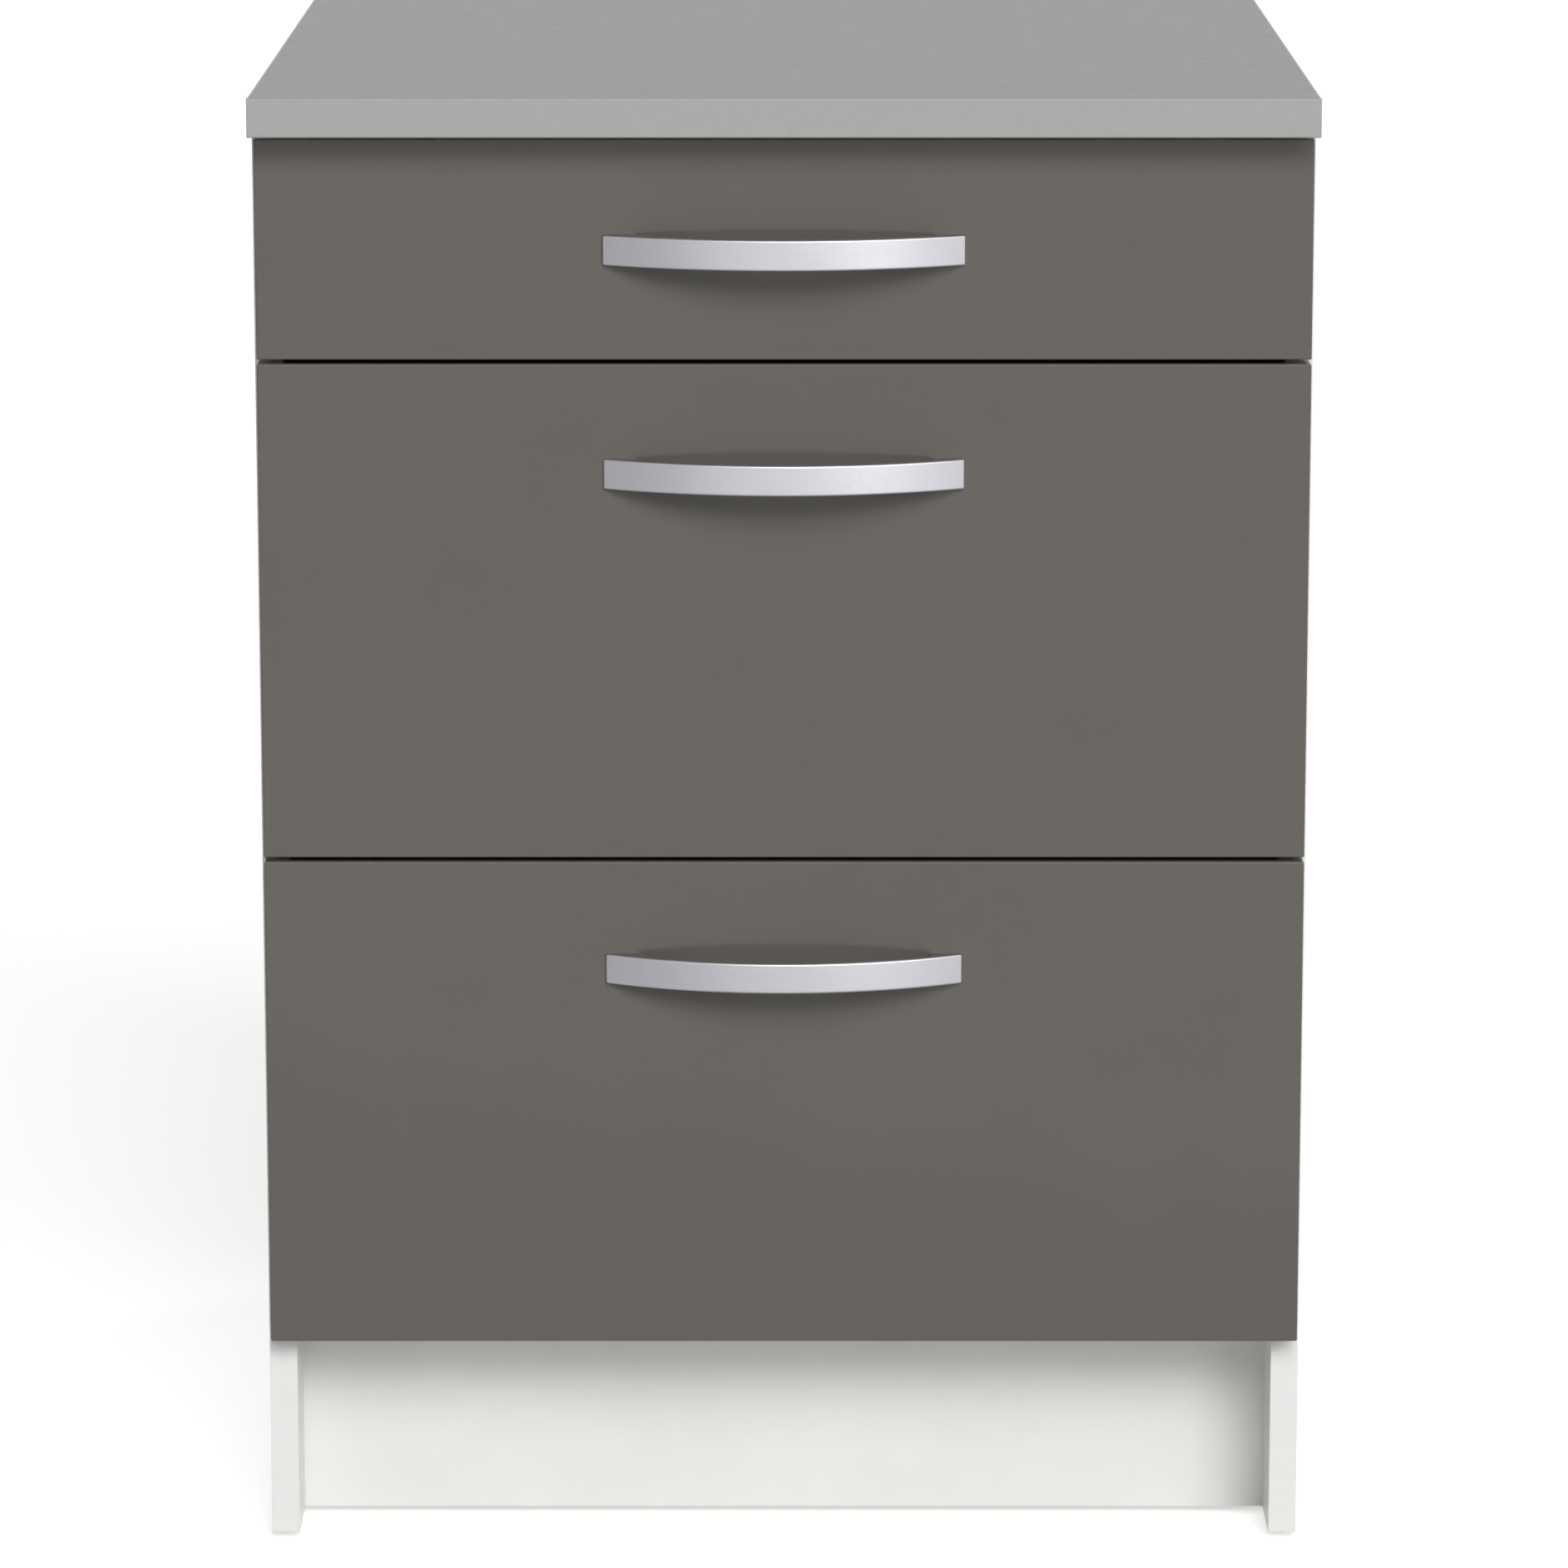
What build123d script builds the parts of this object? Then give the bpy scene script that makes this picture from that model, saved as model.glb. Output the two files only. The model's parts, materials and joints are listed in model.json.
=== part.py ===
from build123d import *
import os
from math import sqrt

# A kitchen base cabinet with one shallow and two deep drawers. It stands on the floor,
# its back goes to the wall and its fronts face the user.
# Millimetres. +X is to the right seen from the front, +Y goes back to the wall, +Z is up.
# The origin is on the floor, under the middle of the whole cabinet with its handles.

# Widths and boards
CABINET_WIDTH = 600.0
BOARD = 16.0
FRONT_SIDE_MARGIN = 2.0

# Heights, from the floor up
GLIDE_HEIGHT = 4.0
KICK_HEIGHT = 125.0
DEEP_FRONT_HEIGHT = 285.0
TOP_FRONT_HEIGHT = 125.0
FRONT_GAP = 2.5
WORKTOP_GAP = 3.0
WORKTOP_THICKNESS = 22.0
BOTTOM_STEP = 5.0

# Depths, from the wall forwards
CARCASS_DEPTH = 560.0
BUMPER_GAP = 2.0
FRONT_THICKNESS = 16.0
WORKTOP_OVERHANG = 22.0
PLINTH_SETBACK = 50.0
RAIL_DEPTH = 100.0

# Back panel in its grooves
BACK_INSET = 16.0
BACK_THICKNESS = 3.0
BACK_GROOVE = 8.0
PANEL_FIT = 0.1

# Rounded edges
FRONT_ARRIS = 1.0
WORKTOP_ARRIS = 0.8

# Drawer boxes
DRAWER_BOARD = 12.0
DRAWER_BOTTOM = 3.0
DRAWER_BOTTOM_LIFT = 10.0
DRAWER_GROOVE = 5.0
TOP_BOX_HEADROOM = 23.0
DEEP_BOX_HEADROOM = 78.0
REAR_SPACE = 39.0

# Roller runners
SIDE_CLEARANCE = 12.5
SHEET = 1.2
BEND = 1.4
RUNNER_SETBACK = 2.0
RUNNER_GROUND = 4.8
CHANNEL_HEIGHT = 20.0
CHANNEL_WIDTH = 10.0
ENTRY_LENGTH = 36.0
FRONT_AXLE_INSET = 14.0
REAR_AXLE_INSET = 12.0
DRAWER_TRAVEL = 370.0
STOP_GAP = 0.5
STOP_HEIGHT = 8.0
STOP_REACH = 3.0
FLANGE_GAP = 0.4
FLANGE_START = 3.0
UNDER_FLANGE = 10.4

# Rollers on their axles
ROLLER_WIDTH = 7.2
ROLLER_PLAY = 0.3
ROLLER_CLEARANCE = 0.4
ROLLER_CHAMFER = 0.7
ROLLER_HUB = 4.6
ROLLER_RIM = 2.0
ROLLER_DISH = 1.4
AXLE_RADIUS = 2.5
AXLE_RUNNING_FIT = 0.05
AXLE_HEAD_RADIUS = 3.5
AXLE_HEAD = 0.8
AXLE_SHOULDER_RADIUS = 4.0

# Bow handles
HANDLE_HOLE_SPACING = 192.0
HANDLE_END = 6.3
HANDLE_FOOT = 12.0
HANDLE_PROJECTION = 28.0
HANDLE_TIP = 1.8
HANDLE_BAND = 4.0
HANDLE_HEIGHT = 17.5
HANDLE_DROP = 62.5
HANDLE_ROUNDING = 1.4
HANDLE_INNER_ROUNDING = 0.8
HANDLE_TIP_ROUNDING = 1.2
HANDLE_THREAD_WALL = 0.8
HANDLE_SCREW_RADIUS = 2.0
HANDLE_SCREW_HEAD_RADIUS = 4.25
HANDLE_SCREW_HEAD = 2.6
HANDLE_SCREW_ROUNDING = 0.85
HANDLE_SCREW_HOLE_RADIUS = 2.25

# Dowels, cam fittings and screws
JOINT_INSET = 50.0
JOINT_PITCH = 32.0
DOWEL_RADIUS = 4.0
DOWEL_IN_SIDE = 12.0
DOWEL_IN_BOARD = 18.0
DOWEL_FIT = 0.05
HOLE_BOTTOM = 1.0
BOLT_THREAD_RADIUS = 3.0
BOLT_THREAD = 11.0
BOLT_SHANK_RADIUS = 2.5
BOLT_NECK_RADIUS = 1.5
BOLT_HEAD_RADIUS = 3.0
BOLT_HEAD = 3.0
BOLT_NECK = 3.0
BOLT_BORE_RADIUS = 4.0
CAM_FIT = 0.1
CARCASS_CAM_RADIUS = 7.5
CARCASS_CAM_DEPTH = 12.5
CARCASS_CAM_REACH = 34.0
DRAWER_CAM_RADIUS = 6.0
DRAWER_CAM_DEPTH = 9.8
DRAWER_CAM_REACH = 24.0
TWO_CAM_HEIGHT = 128.0
CAM_SLOT_MARGIN = 2.5
CAM_SLOT_WIDTH = 1.4
CAM_SLOT_DEPTH = 2.0
SCREW_FIT = 0.1
SCREW_RIM = 0.2
RUNNER_SCREW_DIAMETER = 5.0
RUNNER_SCREW_HEAD = 7.8
RUNNER_SCREW_LENGTH = 13.0
RUNNER_SCREW_FIRST = 35.0
RUNNER_SCREW_STEPS = (0, 7, 13)
WOOD_SCREW_DIAMETER = 3.5
WOOD_SCREW_HEAD = 7.0
WOOD_SCREW_LENGTH = 30.0
WORKTOP_SCREW_SPACING = 400.0
BACK_SCREW_LIFT = 7.5
BACK_SCREW_DROP = 15.0
UNDER_SCREW_INSET = 5.0
UNDER_SCREW_FRONT = 60.0
UNDER_SCREW_REAR = 60.0

# Glides and bumpers
GLIDE_RADIUS = 7.5
GLIDE_INSET = 40.0
GLIDE_NAIL_RADIUS = 1.25
GLIDE_NAIL = 15.0
GLIDE_EDGE = 1.0
BUMPER_RADIUS = 4.0
BUMPER_THICKNESS = 1.7
BUMPER_DROP = 20.0

# Worked out from the sizes above
INSIDE_WIDTH = CABINET_WIDTH - 2 * BOARD
BOX_WIDTH = INSIDE_WIDTH - 2 * SIDE_CLEARANCE
FRONT_STACK = BUMPER_GAP + FRONT_THICKNESS
FRONT_REACH = max(HANDLE_PROJECTION, WORKTOP_OVERHANG)
OVERALL_DEPTH = CARCASS_DEPTH + FRONT_STACK + FRONT_REACH
CARCASS_BACK = OVERALL_DEPTH / 2
CARCASS_FRONT = CARCASS_BACK - CARCASS_DEPTH
FRONT_BACK_FACE = CARCASS_FRONT - BUMPER_GAP
FRONT_FACE = CARCASS_FRONT - FRONT_STACK
BACK_FRONT_FACE = CARCASS_BACK - BACK_INSET - BACK_THICKNESS
RUNNER_FRONT = CARCASS_FRONT + RUNNER_SETBACK
RUNNER_REAR = BACK_FRONT_FACE - REAR_SPACE
BOX_REAR = RUNNER_REAR - RUNNER_SETBACK - BUMPER_GAP
DRAWER_RUNNER_FRONT = CARCASS_FRONT

BOTTOM_UNDERSIDE = KICK_HEIGHT + BOTTOM_STEP
BOTTOM_TOP = BOTTOM_UNDERSIDE + BOARD
RUNNER_LIFT = BOTTOM_STEP + BOARD + RUNNER_GROUND + SHEET
BOTTOM_FRONT_EDGE = KICK_HEIGHT
MIDDLE_FRONT_EDGE = BOTTOM_FRONT_EDGE + DEEP_FRONT_HEIGHT + FRONT_GAP
TOP_FRONT_EDGE = MIDDLE_FRONT_EDGE + DEEP_FRONT_HEIGHT + FRONT_GAP
WORKTOP_UNDERSIDE = TOP_FRONT_EDGE + TOP_FRONT_HEIGHT + WORKTOP_GAP
RAIL_UNDERSIDE = WORKTOP_UNDERSIDE - BOARD
REAR_RAIL_FRONT = BACK_FRONT_FACE - PANEL_FIT - RAIL_DEPTH
PLINTH_FRONT = CARCASS_FRONT + PLINTH_SETBACK

REAR_ROLLER_RADIUS = CHANNEL_HEIGHT / 2 - ROLLER_CLEARANCE
FLANGE_UNDERSIDE = CHANNEL_HEIGHT - FLANGE_GAP - SHEET
FRONT_ROLLER_RADIUS = (FLANGE_UNDERSIDE - 2 * ROLLER_CLEARANCE) / 2
FRONT_AXLE = RUNNER_FRONT + FRONT_AXLE_INSET
REAR_AXLE = BOX_REAR - REAR_AXLE_INSET
FRONT_ROLLER_START = SHEET + ROLLER_PLAY
REAR_ROLLER_START = CHANNEL_WIDTH - ROLLER_PLAY - ROLLER_WIDTH

HANDLE_LENGTH = HANDLE_HOLE_SPACING + 2 * HANDLE_END
HANDLE_RISE = HANDLE_PROJECTION - HANDLE_TIP
HANDLE_RADIUS = (HANDLE_RISE**2 + (HANDLE_LENGTH / 2) ** 2) / (2 * HANDLE_RISE)
HANDLE_GRIP = HANDLE_HOLE_SPACING - 2 * HANDLE_FOOT
SAME_RADIUS = 0.01

LEFT = -1
RIGHT = 1
SIDES = {"left": LEFT, "right": RIGHT}
LEVELS = {
    "top": (TOP_FRONT_EDGE, TOP_FRONT_HEIGHT, TOP_BOX_HEADROOM),
    "middle": (MIDDLE_FRONT_EDGE, DEEP_FRONT_HEIGHT, DEEP_BOX_HEADROOM),
    "bottom": (BOTTOM_FRONT_EDGE, DEEP_FRONT_HEIGHT, DEEP_BOX_HEADROOM),
}
FROM_BASE = (Align.CENTER, Align.CENTER, Align.MIN)
UP = (0, 0, 1)
DOWN = (0, 0, -1)
BACKWARD = (0, 1, 0)


def board(x, y, z):
    """A rectangular board between the two limits given along each axis."""
    limits = [sorted(pair) for pair in (x, y, z)]
    size = [high - low for low, high in limits]
    centre = [(high + low) / 2 for low, high in limits]
    return Pos(*centre) * Box(*size)


def rod(radius, start, end):
    """A round bar from one point to another."""
    path = Vector(*end) - Vector(*start)
    return Plane(origin=start, z_dir=path) * Cylinder(radius, path.length, align=FROM_BASE)


def turned(profile, seat, direction):
    """A turned piece with this (radius, height) profile, standing on seat along direction."""
    outline = make_face(Polyline(*profile, close=True))
    return Plane(origin=seat, z_dir=direction) * revolve(Plane.XZ * outline, Axis.Z)


def group(pieces):
    """Separate pieces of one kind, kept together."""
    return Compound(children=list(pieces))


def wood_screw(seat, direction, fit=0.0):
    """The one size of screw that holds the worktop and the drawers together, or its hole."""
    return screw(seat, direction, WOOD_SCREW_DIAMETER, WOOD_SCREW_HEAD, WOOD_SCREW_LENGTH, fit)


def screw(seat, direction, diameter, head, length, fit=0.0):
    """A countersunk screw with its flat head at seat. With a fit it is the hole for one."""
    shank = diameter / 2
    cone = (head - diameter) / 2
    profile = [
        (0, -fit),
        (head / 2 + fit, -fit),
        (head / 2 + fit, SCREW_RIM),
        (shank + fit, SCREW_RIM + cone),
        (shank + fit, length - diameter),
        (0, length + fit),
    ]
    return turned(profile, seat, direction)


class CamJoint:
    """A bolt across a butt joint, and the cam in the face of the board that it holds.

    seat is on the joint plane at the board's mid thickness, along points into the board
    and out points to the face that the cam is let into.
    """

    def __init__(self, seat, along, out, thickness, radius, depth, reach):
        self.seat = Vector(*seat)
        self.along = Vector(*along)
        self.out = Vector(*out)
        self.mouth = self.seat + self.along * reach + self.out * (thickness / 2)
        self.radius = radius
        self.depth = depth
        self.reach = reach

    def bolt(self):
        """Thread in the neighbour, plain shank, thin neck and the head that the cam catches."""
        neck = self.reach - BOLT_HEAD / 2 - BOLT_NECK
        head = neck + BOLT_NECK
        profile = [
            (0, -BOLT_THREAD),
            (BOLT_THREAD_RADIUS, -BOLT_THREAD),
            (BOLT_THREAD_RADIUS, 0),
            (BOLT_SHANK_RADIUS, 0),
            (BOLT_SHANK_RADIUS, neck),
            (BOLT_NECK_RADIUS, neck),
            (BOLT_NECK_RADIUS, head),
            (BOLT_HEAD_RADIUS, head),
            (BOLT_HEAD_RADIUS, head + BOLT_HEAD),
            (0, head + BOLT_HEAD),
        ]
        return turned(profile, self.seat, self.along)

    def lock(self):
        """The cam: a drum with a mouth for the bolt's head and a cross slot for the driver."""
        drum = rod(self.radius, self.mouth, self.mouth - self.out * self.depth)
        axis = self.seat + self.along * (self.reach - self.radius - CAM_FIT)
        end = self.seat + self.along * (self.reach + BOLT_HEAD)
        mouth = rod(BOLT_HEAD_RADIUS + CAM_FIT, axis, end)
        slot = Box(2 * (self.radius - CAM_SLOT_MARGIN), CAM_SLOT_WIDTH, 2 * CAM_SLOT_DEPTH)
        top = Plane(origin=self.mouth, z_dir=self.out)
        return drum - [mouth, top * slot, top * Rot(0, 0, 90) * slot]

    def neighbour_hole(self):
        """The hole that the bolt's thread is driven into."""
        end = self.seat - self.along * (BOLT_THREAD + HOLE_BOTTOM)
        return rod(BOLT_THREAD_RADIUS + CAM_FIT, self.seat, end)

    def board_cuts(self):
        """The bore in the board's end and the round pocket of the cam."""
        bore = rod(BOLT_BORE_RADIUS, self.seat, self.seat + self.along * self.reach)
        floor = self.mouth - self.out * (self.depth + CAM_FIT)
        pocket = rod(self.radius + CAM_FIT, floor, self.mouth)
        return [bore, pocket]


def carcass_cam(side, y, z, out):
    """A cam joint from a side panel into the end of a board between the sides."""
    seat = (side * INSIDE_WIDTH / 2, y, z)
    return CamJoint(
        seat, (-side, 0, 0), out, BOARD, CARCASS_CAM_RADIUS, CARCASS_CAM_DEPTH, CARCASS_CAM_REACH
    )


def dowel(side, y, z, fit=0.0, depth=0.0):
    """A dowel across the same joint, or the hole for one."""
    joint = side * INSIDE_WIDTH / 2
    start = (joint + side * (DOWEL_IN_SIDE + depth), y, z)
    end = (joint - side * (DOWEL_IN_BOARD + depth), y, z)
    return rod(DOWEL_RADIUS + fit, start, end)


# Where the boards between the sides are joined: (y, z, way to the cam's face), and (y, z)
BOTTOM_MID = BOTTOM_UNDERSIDE + BOARD / 2
RAIL_MID = WORKTOP_UNDERSIDE - BOARD / 2
FRONT_RAIL_MID = CARCASS_FRONT + RAIL_DEPTH / 2
REAR_RAIL_MID = REAR_RAIL_FRONT + RAIL_DEPTH / 2
PLINTH_MID = PLINTH_FRONT + BOARD / 2
PLINTH_CENTRE = (GLIDE_HEIGHT + BOTTOM_UNDERSIDE) / 2
CAM_SPOTS = {
    "bottom_panel": [
        (CARCASS_FRONT + JOINT_INSET, BOTTOM_MID, DOWN),
        (CARCASS_BACK - JOINT_INSET, BOTTOM_MID, DOWN),
    ],
    "front_top_rail": [(FRONT_RAIL_MID - JOINT_PITCH / 2, RAIL_MID, DOWN)],
    "rear_top_rail": [(REAR_RAIL_MID - JOINT_PITCH / 2, RAIL_MID, DOWN)],
    "plinth_panel": [(PLINTH_MID, PLINTH_CENTRE + JOINT_PITCH / 2, BACKWARD)],
}
DOWEL_SPOTS = {
    "bottom_panel": [
        (CARCASS_FRONT + JOINT_INSET + JOINT_PITCH, BOTTOM_MID),
        (CARCASS_BACK - JOINT_INSET - JOINT_PITCH, BOTTOM_MID),
    ],
    "front_top_rail": [(FRONT_RAIL_MID + JOINT_PITCH / 2, RAIL_MID)],
    "rear_top_rail": [(REAR_RAIL_MID + JOINT_PITCH / 2, RAIL_MID)],
    "plinth_panel": [(PLINTH_MID, PLINTH_CENTRE - JOINT_PITCH / 2)],
}
BOARDS_JOINED = list(CAM_SPOTS)


def cams(name, sides=(LEFT, RIGHT)):
    """The cam joints of one board between the sides."""
    return [carcass_cam(side, *spot) for side in sides for spot in CAM_SPOTS[name]]


def dowels(name, sides=(LEFT, RIGHT), fit=0.0, depth=0.0):
    """The dowels of one board between the sides, or their holes."""
    return [dowel(side, *spot, fit, depth) for side in sides for spot in DOWEL_SPOTS[name]]


def joint_cuts(name):
    """Everything that is bored into the ends of one board between the sides."""
    bores = [cut for cam in cams(name) for cut in cam.board_cuts()]
    return bores + dowels(name, fit=DOWEL_FIT, depth=HOLE_BOTTOM)


# Carcass


def back_panel(fit=0.0):
    """The thin back, in grooves of the sides and of the bottom, or the space of its grooves."""
    reach = INSIDE_WIDTH / 2 + BACK_GROOVE
    low = BOTTOM_TOP - BACK_GROOVE
    return board(
        (-reach + PANEL_FIT - fit, reach - PANEL_FIT + fit),
        (BACK_FRONT_FACE - fit, BACK_FRONT_FACE + BACK_THICKNESS + fit),
        (low + PANEL_FIT - fit, WORKTOP_UNDERSIDE - PANEL_FIT + fit),
    )


def runner_screws(side, fit=0.0):
    """The screws of the three cabinet runners on one side, or their holes."""
    x = side * (INSIDE_WIDTH / 2 - SHEET)
    way = (side, 0, 0)
    places = [RUNNER_FRONT + RUNNER_SCREW_FIRST + step * JOINT_PITCH for step in RUNNER_SCREW_STEPS]
    heights = [channel_floor(level) + CHANNEL_HEIGHT / 2 for level in LEVELS]
    return [
        screw((x, y, z), way, RUNNER_SCREW_DIAMETER, RUNNER_SCREW_HEAD, RUNNER_SCREW_LENGTH, fit)
        for z in heights
        for y in places
    ]


def channel_floor(level):
    """The height that the rollers of one drawer run on."""
    return LEVELS[level][0] + RUNNER_LIFT


def glides(side, fit=0.0):
    """The two nail-on glides under one side panel, or the holes of their nails."""
    x = side * (CABINET_WIDTH - BOARD) / 2
    radius = min(GLIDE_RADIUS, BOARD / 2 - GLIDE_EDGE / 2)
    foot = [
        (0, 0),
        (radius - GLIDE_EDGE, 0),
        (radius, GLIDE_EDGE),
        (radius, GLIDE_HEIGHT),
        (GLIDE_NAIL_RADIUS + fit, GLIDE_HEIGHT),
        (GLIDE_NAIL_RADIUS + fit, GLIDE_HEIGHT + GLIDE_NAIL),
        (0, GLIDE_HEIGHT + GLIDE_NAIL + GLIDE_NAIL_RADIUS + fit),
    ]
    places = (CARCASS_FRONT + GLIDE_INSET, CARCASS_BACK - GLIDE_INSET)
    return [turned(foot, (x, y, 0), UP) for y in places]


def side_panel(side):
    """A side that runs from its glides to the worktop, drilled for all that is fixed to it."""
    x = (side * INSIDE_WIDTH / 2, side * CABINET_WIDTH / 2)
    panel = board(x, (CARCASS_FRONT, CARCASS_BACK), (GLIDE_HEIGHT, WORKTOP_UNDERSIDE))
    cuts = [back_panel(PANEL_FIT)] + runner_screws(side, SCREW_FIT) + glides(side, SCREW_FIT)
    for name in BOARDS_JOINED:
        cuts += [cam.neighbour_hole() for cam in cams(name, [side])]
        cuts += dowels(name, [side], DOWEL_FIT)
    return panel - cuts


def bottom_panel():
    """The board under the lowest drawer, grooved for the back."""
    half = INSIDE_WIDTH / 2
    panel = board((-half, half), (CARCASS_FRONT, CARCASS_BACK), (BOTTOM_UNDERSIDE, BOTTOM_TOP))
    return panel - [back_panel(PANEL_FIT)] - joint_cuts("bottom_panel")


def top_rail(name, front):
    """A rail that lies flat under the worktop, with two holes for its screws."""
    half = INSIDE_WIDTH / 2
    rail = board((-half, half), (front, front + RAIL_DEPTH), (RAIL_UNDERSIDE, WORKTOP_UNDERSIDE))
    return rail - joint_cuts(name) - worktop_screws(front + RAIL_DEPTH / 2, SCREW_FIT)


def worktop_screws(y, fit=0.0):
    """Two screws up through a rail into the worktop, or their holes."""
    half = WORKTOP_SCREW_SPACING / 2
    return [wood_screw((x, y, RAIL_UNDERSIDE), UP, fit) for x in (-half, half)]


def worktop():
    """The worktop, flush with the carcass at the wall and the sides, over the fronts in front."""
    half = CABINET_WIDTH / 2
    top = WORKTOP_UNDERSIDE + WORKTOP_THICKNESS
    depth = (FRONT_FACE - WORKTOP_OVERHANG, CARCASS_BACK)
    slab = board((-half, half), depth, (WORKTOP_UNDERSIDE, top))
    rounded = fillet(slab.faces().sort_by(Axis.Y)[0].edges(), WORKTOP_ARRIS)
    holes = [hole for y in (FRONT_RAIL_MID, REAR_RAIL_MID) for hole in worktop_screws(y, SCREW_FIT)]
    return rounded - holes


def plinth_panel():
    """The kick board, set back between the sides."""
    half = INSIDE_WIDTH / 2
    depth = (PLINTH_FRONT, PLINTH_FRONT + BOARD)
    panel = board((-half, half), depth, (GLIDE_HEIGHT, BOTTOM_UNDERSIDE))
    return panel - joint_cuts("plinth_panel")


def front_bumpers():
    """Soft pads on the front edges of the sides, one pair behind each front."""
    spots = [
        (side * (CABINET_WIDTH - BOARD) / 2, edge + height - BUMPER_DROP)
        for side in (LEFT, RIGHT)
        for edge, height, _ in LEVELS.values()
    ]
    return [
        rod(BUMPER_RADIUS, (x, CARCASS_FRONT, z), (x, CARCASS_FRONT - BUMPER_THICKNESS, z))
        for x, z in spots
    ]


# Runners and rollers. u is the distance from the side panel towards the drawer.


def across(side, u):
    """The x of a point that lies u from one side panel's inner face."""
    return side * (INSIDE_WIDTH / 2 - u)


def folded(side, floor, points, front, rear):
    """Sheet steel with this (u, height) centreline in section, folded along the whole runner."""
    line = FilletPolyline(*[(across(side, u), floor + height) for u, height in points], radius=BEND)
    section = trace(line, SHEET)
    return Pos(0, front, 0) * extrude(Plane.XZ * section, front - rear)


def axle(side, y, z, start, end):
    """An axle riveted into a runner at start, with the head that keeps its roller on."""
    way = 1 if end > start else -1
    root = (across(side, start), y, z)
    neck = (across(side, end - way * AXLE_HEAD), y, z)
    tip = (across(side, end), y, z)
    return rod(AXLE_RADIUS, root, tip) + rod(AXLE_HEAD_RADIUS, neck, tip)


def cabinet_runner(side, level):
    """A channel screwed to the side panel, with the front roller's axle and the stop tab."""
    floor = channel_floor(level)
    middle = SHEET / 2
    profile = [
        (CHANNEL_WIDTH, -middle),
        (middle, -middle),
        (middle, CHANNEL_HEIGHT + middle),
        (CHANNEL_WIDTH, CHANNEL_HEIGHT + middle),
    ]
    channel = folded(side, floor, profile, RUNNER_FRONT, RUNNER_REAR)
    entry = board(
        (across(side, SHEET + BEND), across(side, CHANNEL_WIDTH + SHEET)),
        (RUNNER_FRONT - SHEET, RUNNER_FRONT + ENTRY_LENGTH),
        (floor + CHANNEL_HEIGHT - SHEET, floor + CHANNEL_HEIGHT + 2 * SHEET),
    )
    stop_rear = REAR_AXLE - DRAWER_TRAVEL - REAR_ROLLER_RADIUS - STOP_GAP
    half_stop = STOP_HEIGHT / 2
    centre = floor + CHANNEL_HEIGHT / 2
    stop = board(
        (across(side, middle), across(side, SHEET + STOP_REACH)),
        (stop_rear - SHEET, stop_rear),
        (centre - half_stop, centre + half_stop),
    )
    end = FRONT_ROLLER_START + ROLLER_WIDTH + ROLLER_PLAY + AXLE_HEAD
    pin = axle(side, FRONT_AXLE, front_axle_height(level), middle, end)
    runner = channel - entry + stop + pin
    return runner - runner_screws(side, SCREW_FIT)


def front_axle_height(level):
    """The front roller just clears the channel's floor and the drawer runner's flange."""
    return channel_floor(level) + FLANGE_UNDERSIDE / 2


def drawer_runner(side, level):
    """A folded runner under the drawer side, with a flange for the front roller and an axle."""
    floor = channel_floor(level)
    middle = SHEET / 2
    profile = [
        (SIDE_CLEARANCE + UNDER_FLANGE, -middle),
        (SIDE_CLEARANCE - middle, -middle),
        (SIDE_CLEARANCE - middle, FLANGE_UNDERSIDE + middle),
        (FLANGE_START, FLANGE_UNDERSIDE + middle),
    ]
    runner = folded(side, floor, profile, DRAWER_RUNNER_FRONT, BOX_REAR)
    notch = board(
        (across(side, 0), across(side, SIDE_CLEARANCE - SHEET - BEND)),
        (REAR_AXLE - REAR_ROLLER_RADIUS - 2 * STOP_GAP, BOX_REAR + SHEET),
        (floor + FLANGE_UNDERSIDE - SHEET, floor + CHANNEL_HEIGHT),
    )
    centre = floor + CHANNEL_HEIGHT / 2
    tip = REAR_ROLLER_START - ROLLER_PLAY - AXLE_HEAD
    pin = axle(side, REAR_AXLE, centre, SIDE_CLEARANCE - middle, tip)
    shoulder = rod(
        AXLE_SHOULDER_RADIUS,
        (across(side, SIDE_CLEARANCE - middle), REAR_AXLE, centre),
        (across(side, REAR_ROLLER_START + ROLLER_WIDTH + ROLLER_PLAY), REAR_AXLE, centre),
    )
    return runner - notch + pin + shoulder - under_screws(side, level, SCREW_FIT)


def roller(side, radius, start, y, z):
    """A nylon roller with a dished face on both sides of its hub."""
    bore = AXLE_RADIUS + AXLE_RUNNING_FIT
    rim = radius - ROLLER_RIM
    half = ROLLER_WIDTH / 2
    profile = [
        (bore, -half),
        (ROLLER_HUB, -half),
        (ROLLER_HUB, ROLLER_DISH - half),
        (rim, ROLLER_DISH - half),
        (rim, -half),
        (radius - ROLLER_CHAMFER, -half),
        (radius, ROLLER_CHAMFER - half),
        (radius, half - ROLLER_CHAMFER),
        (radius - ROLLER_CHAMFER, half),
        (rim, half),
        (rim, half - ROLLER_DISH),
        (ROLLER_HUB, half - ROLLER_DISH),
        (ROLLER_HUB, half),
        (bore, half),
    ]
    return turned(profile, (across(side, start + half), y, z), (1, 0, 0))


def cabinet_rollers(level):
    """The two rollers at the front of the cabinet runners, which the drawer rolls over."""
    z = front_axle_height(level)
    return [
        roller(side, FRONT_ROLLER_RADIUS, FRONT_ROLLER_START, FRONT_AXLE, z)
        for side in SIDES.values()
    ]


def drawer_rollers(level):
    """The two rollers at the rear of the drawer runners, which run in the channels."""
    z = channel_floor(level) + CHANNEL_HEIGHT / 2
    return [
        roller(side, REAR_ROLLER_RADIUS, REAR_ROLLER_START, REAR_AXLE, z)
        for side in SIDES.values()
    ]


# Drawers


def box_top(level):
    """The height of the upper edge of a drawer's sides."""
    edge, height, headroom = LEVELS[level]
    return edge + height - headroom


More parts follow.
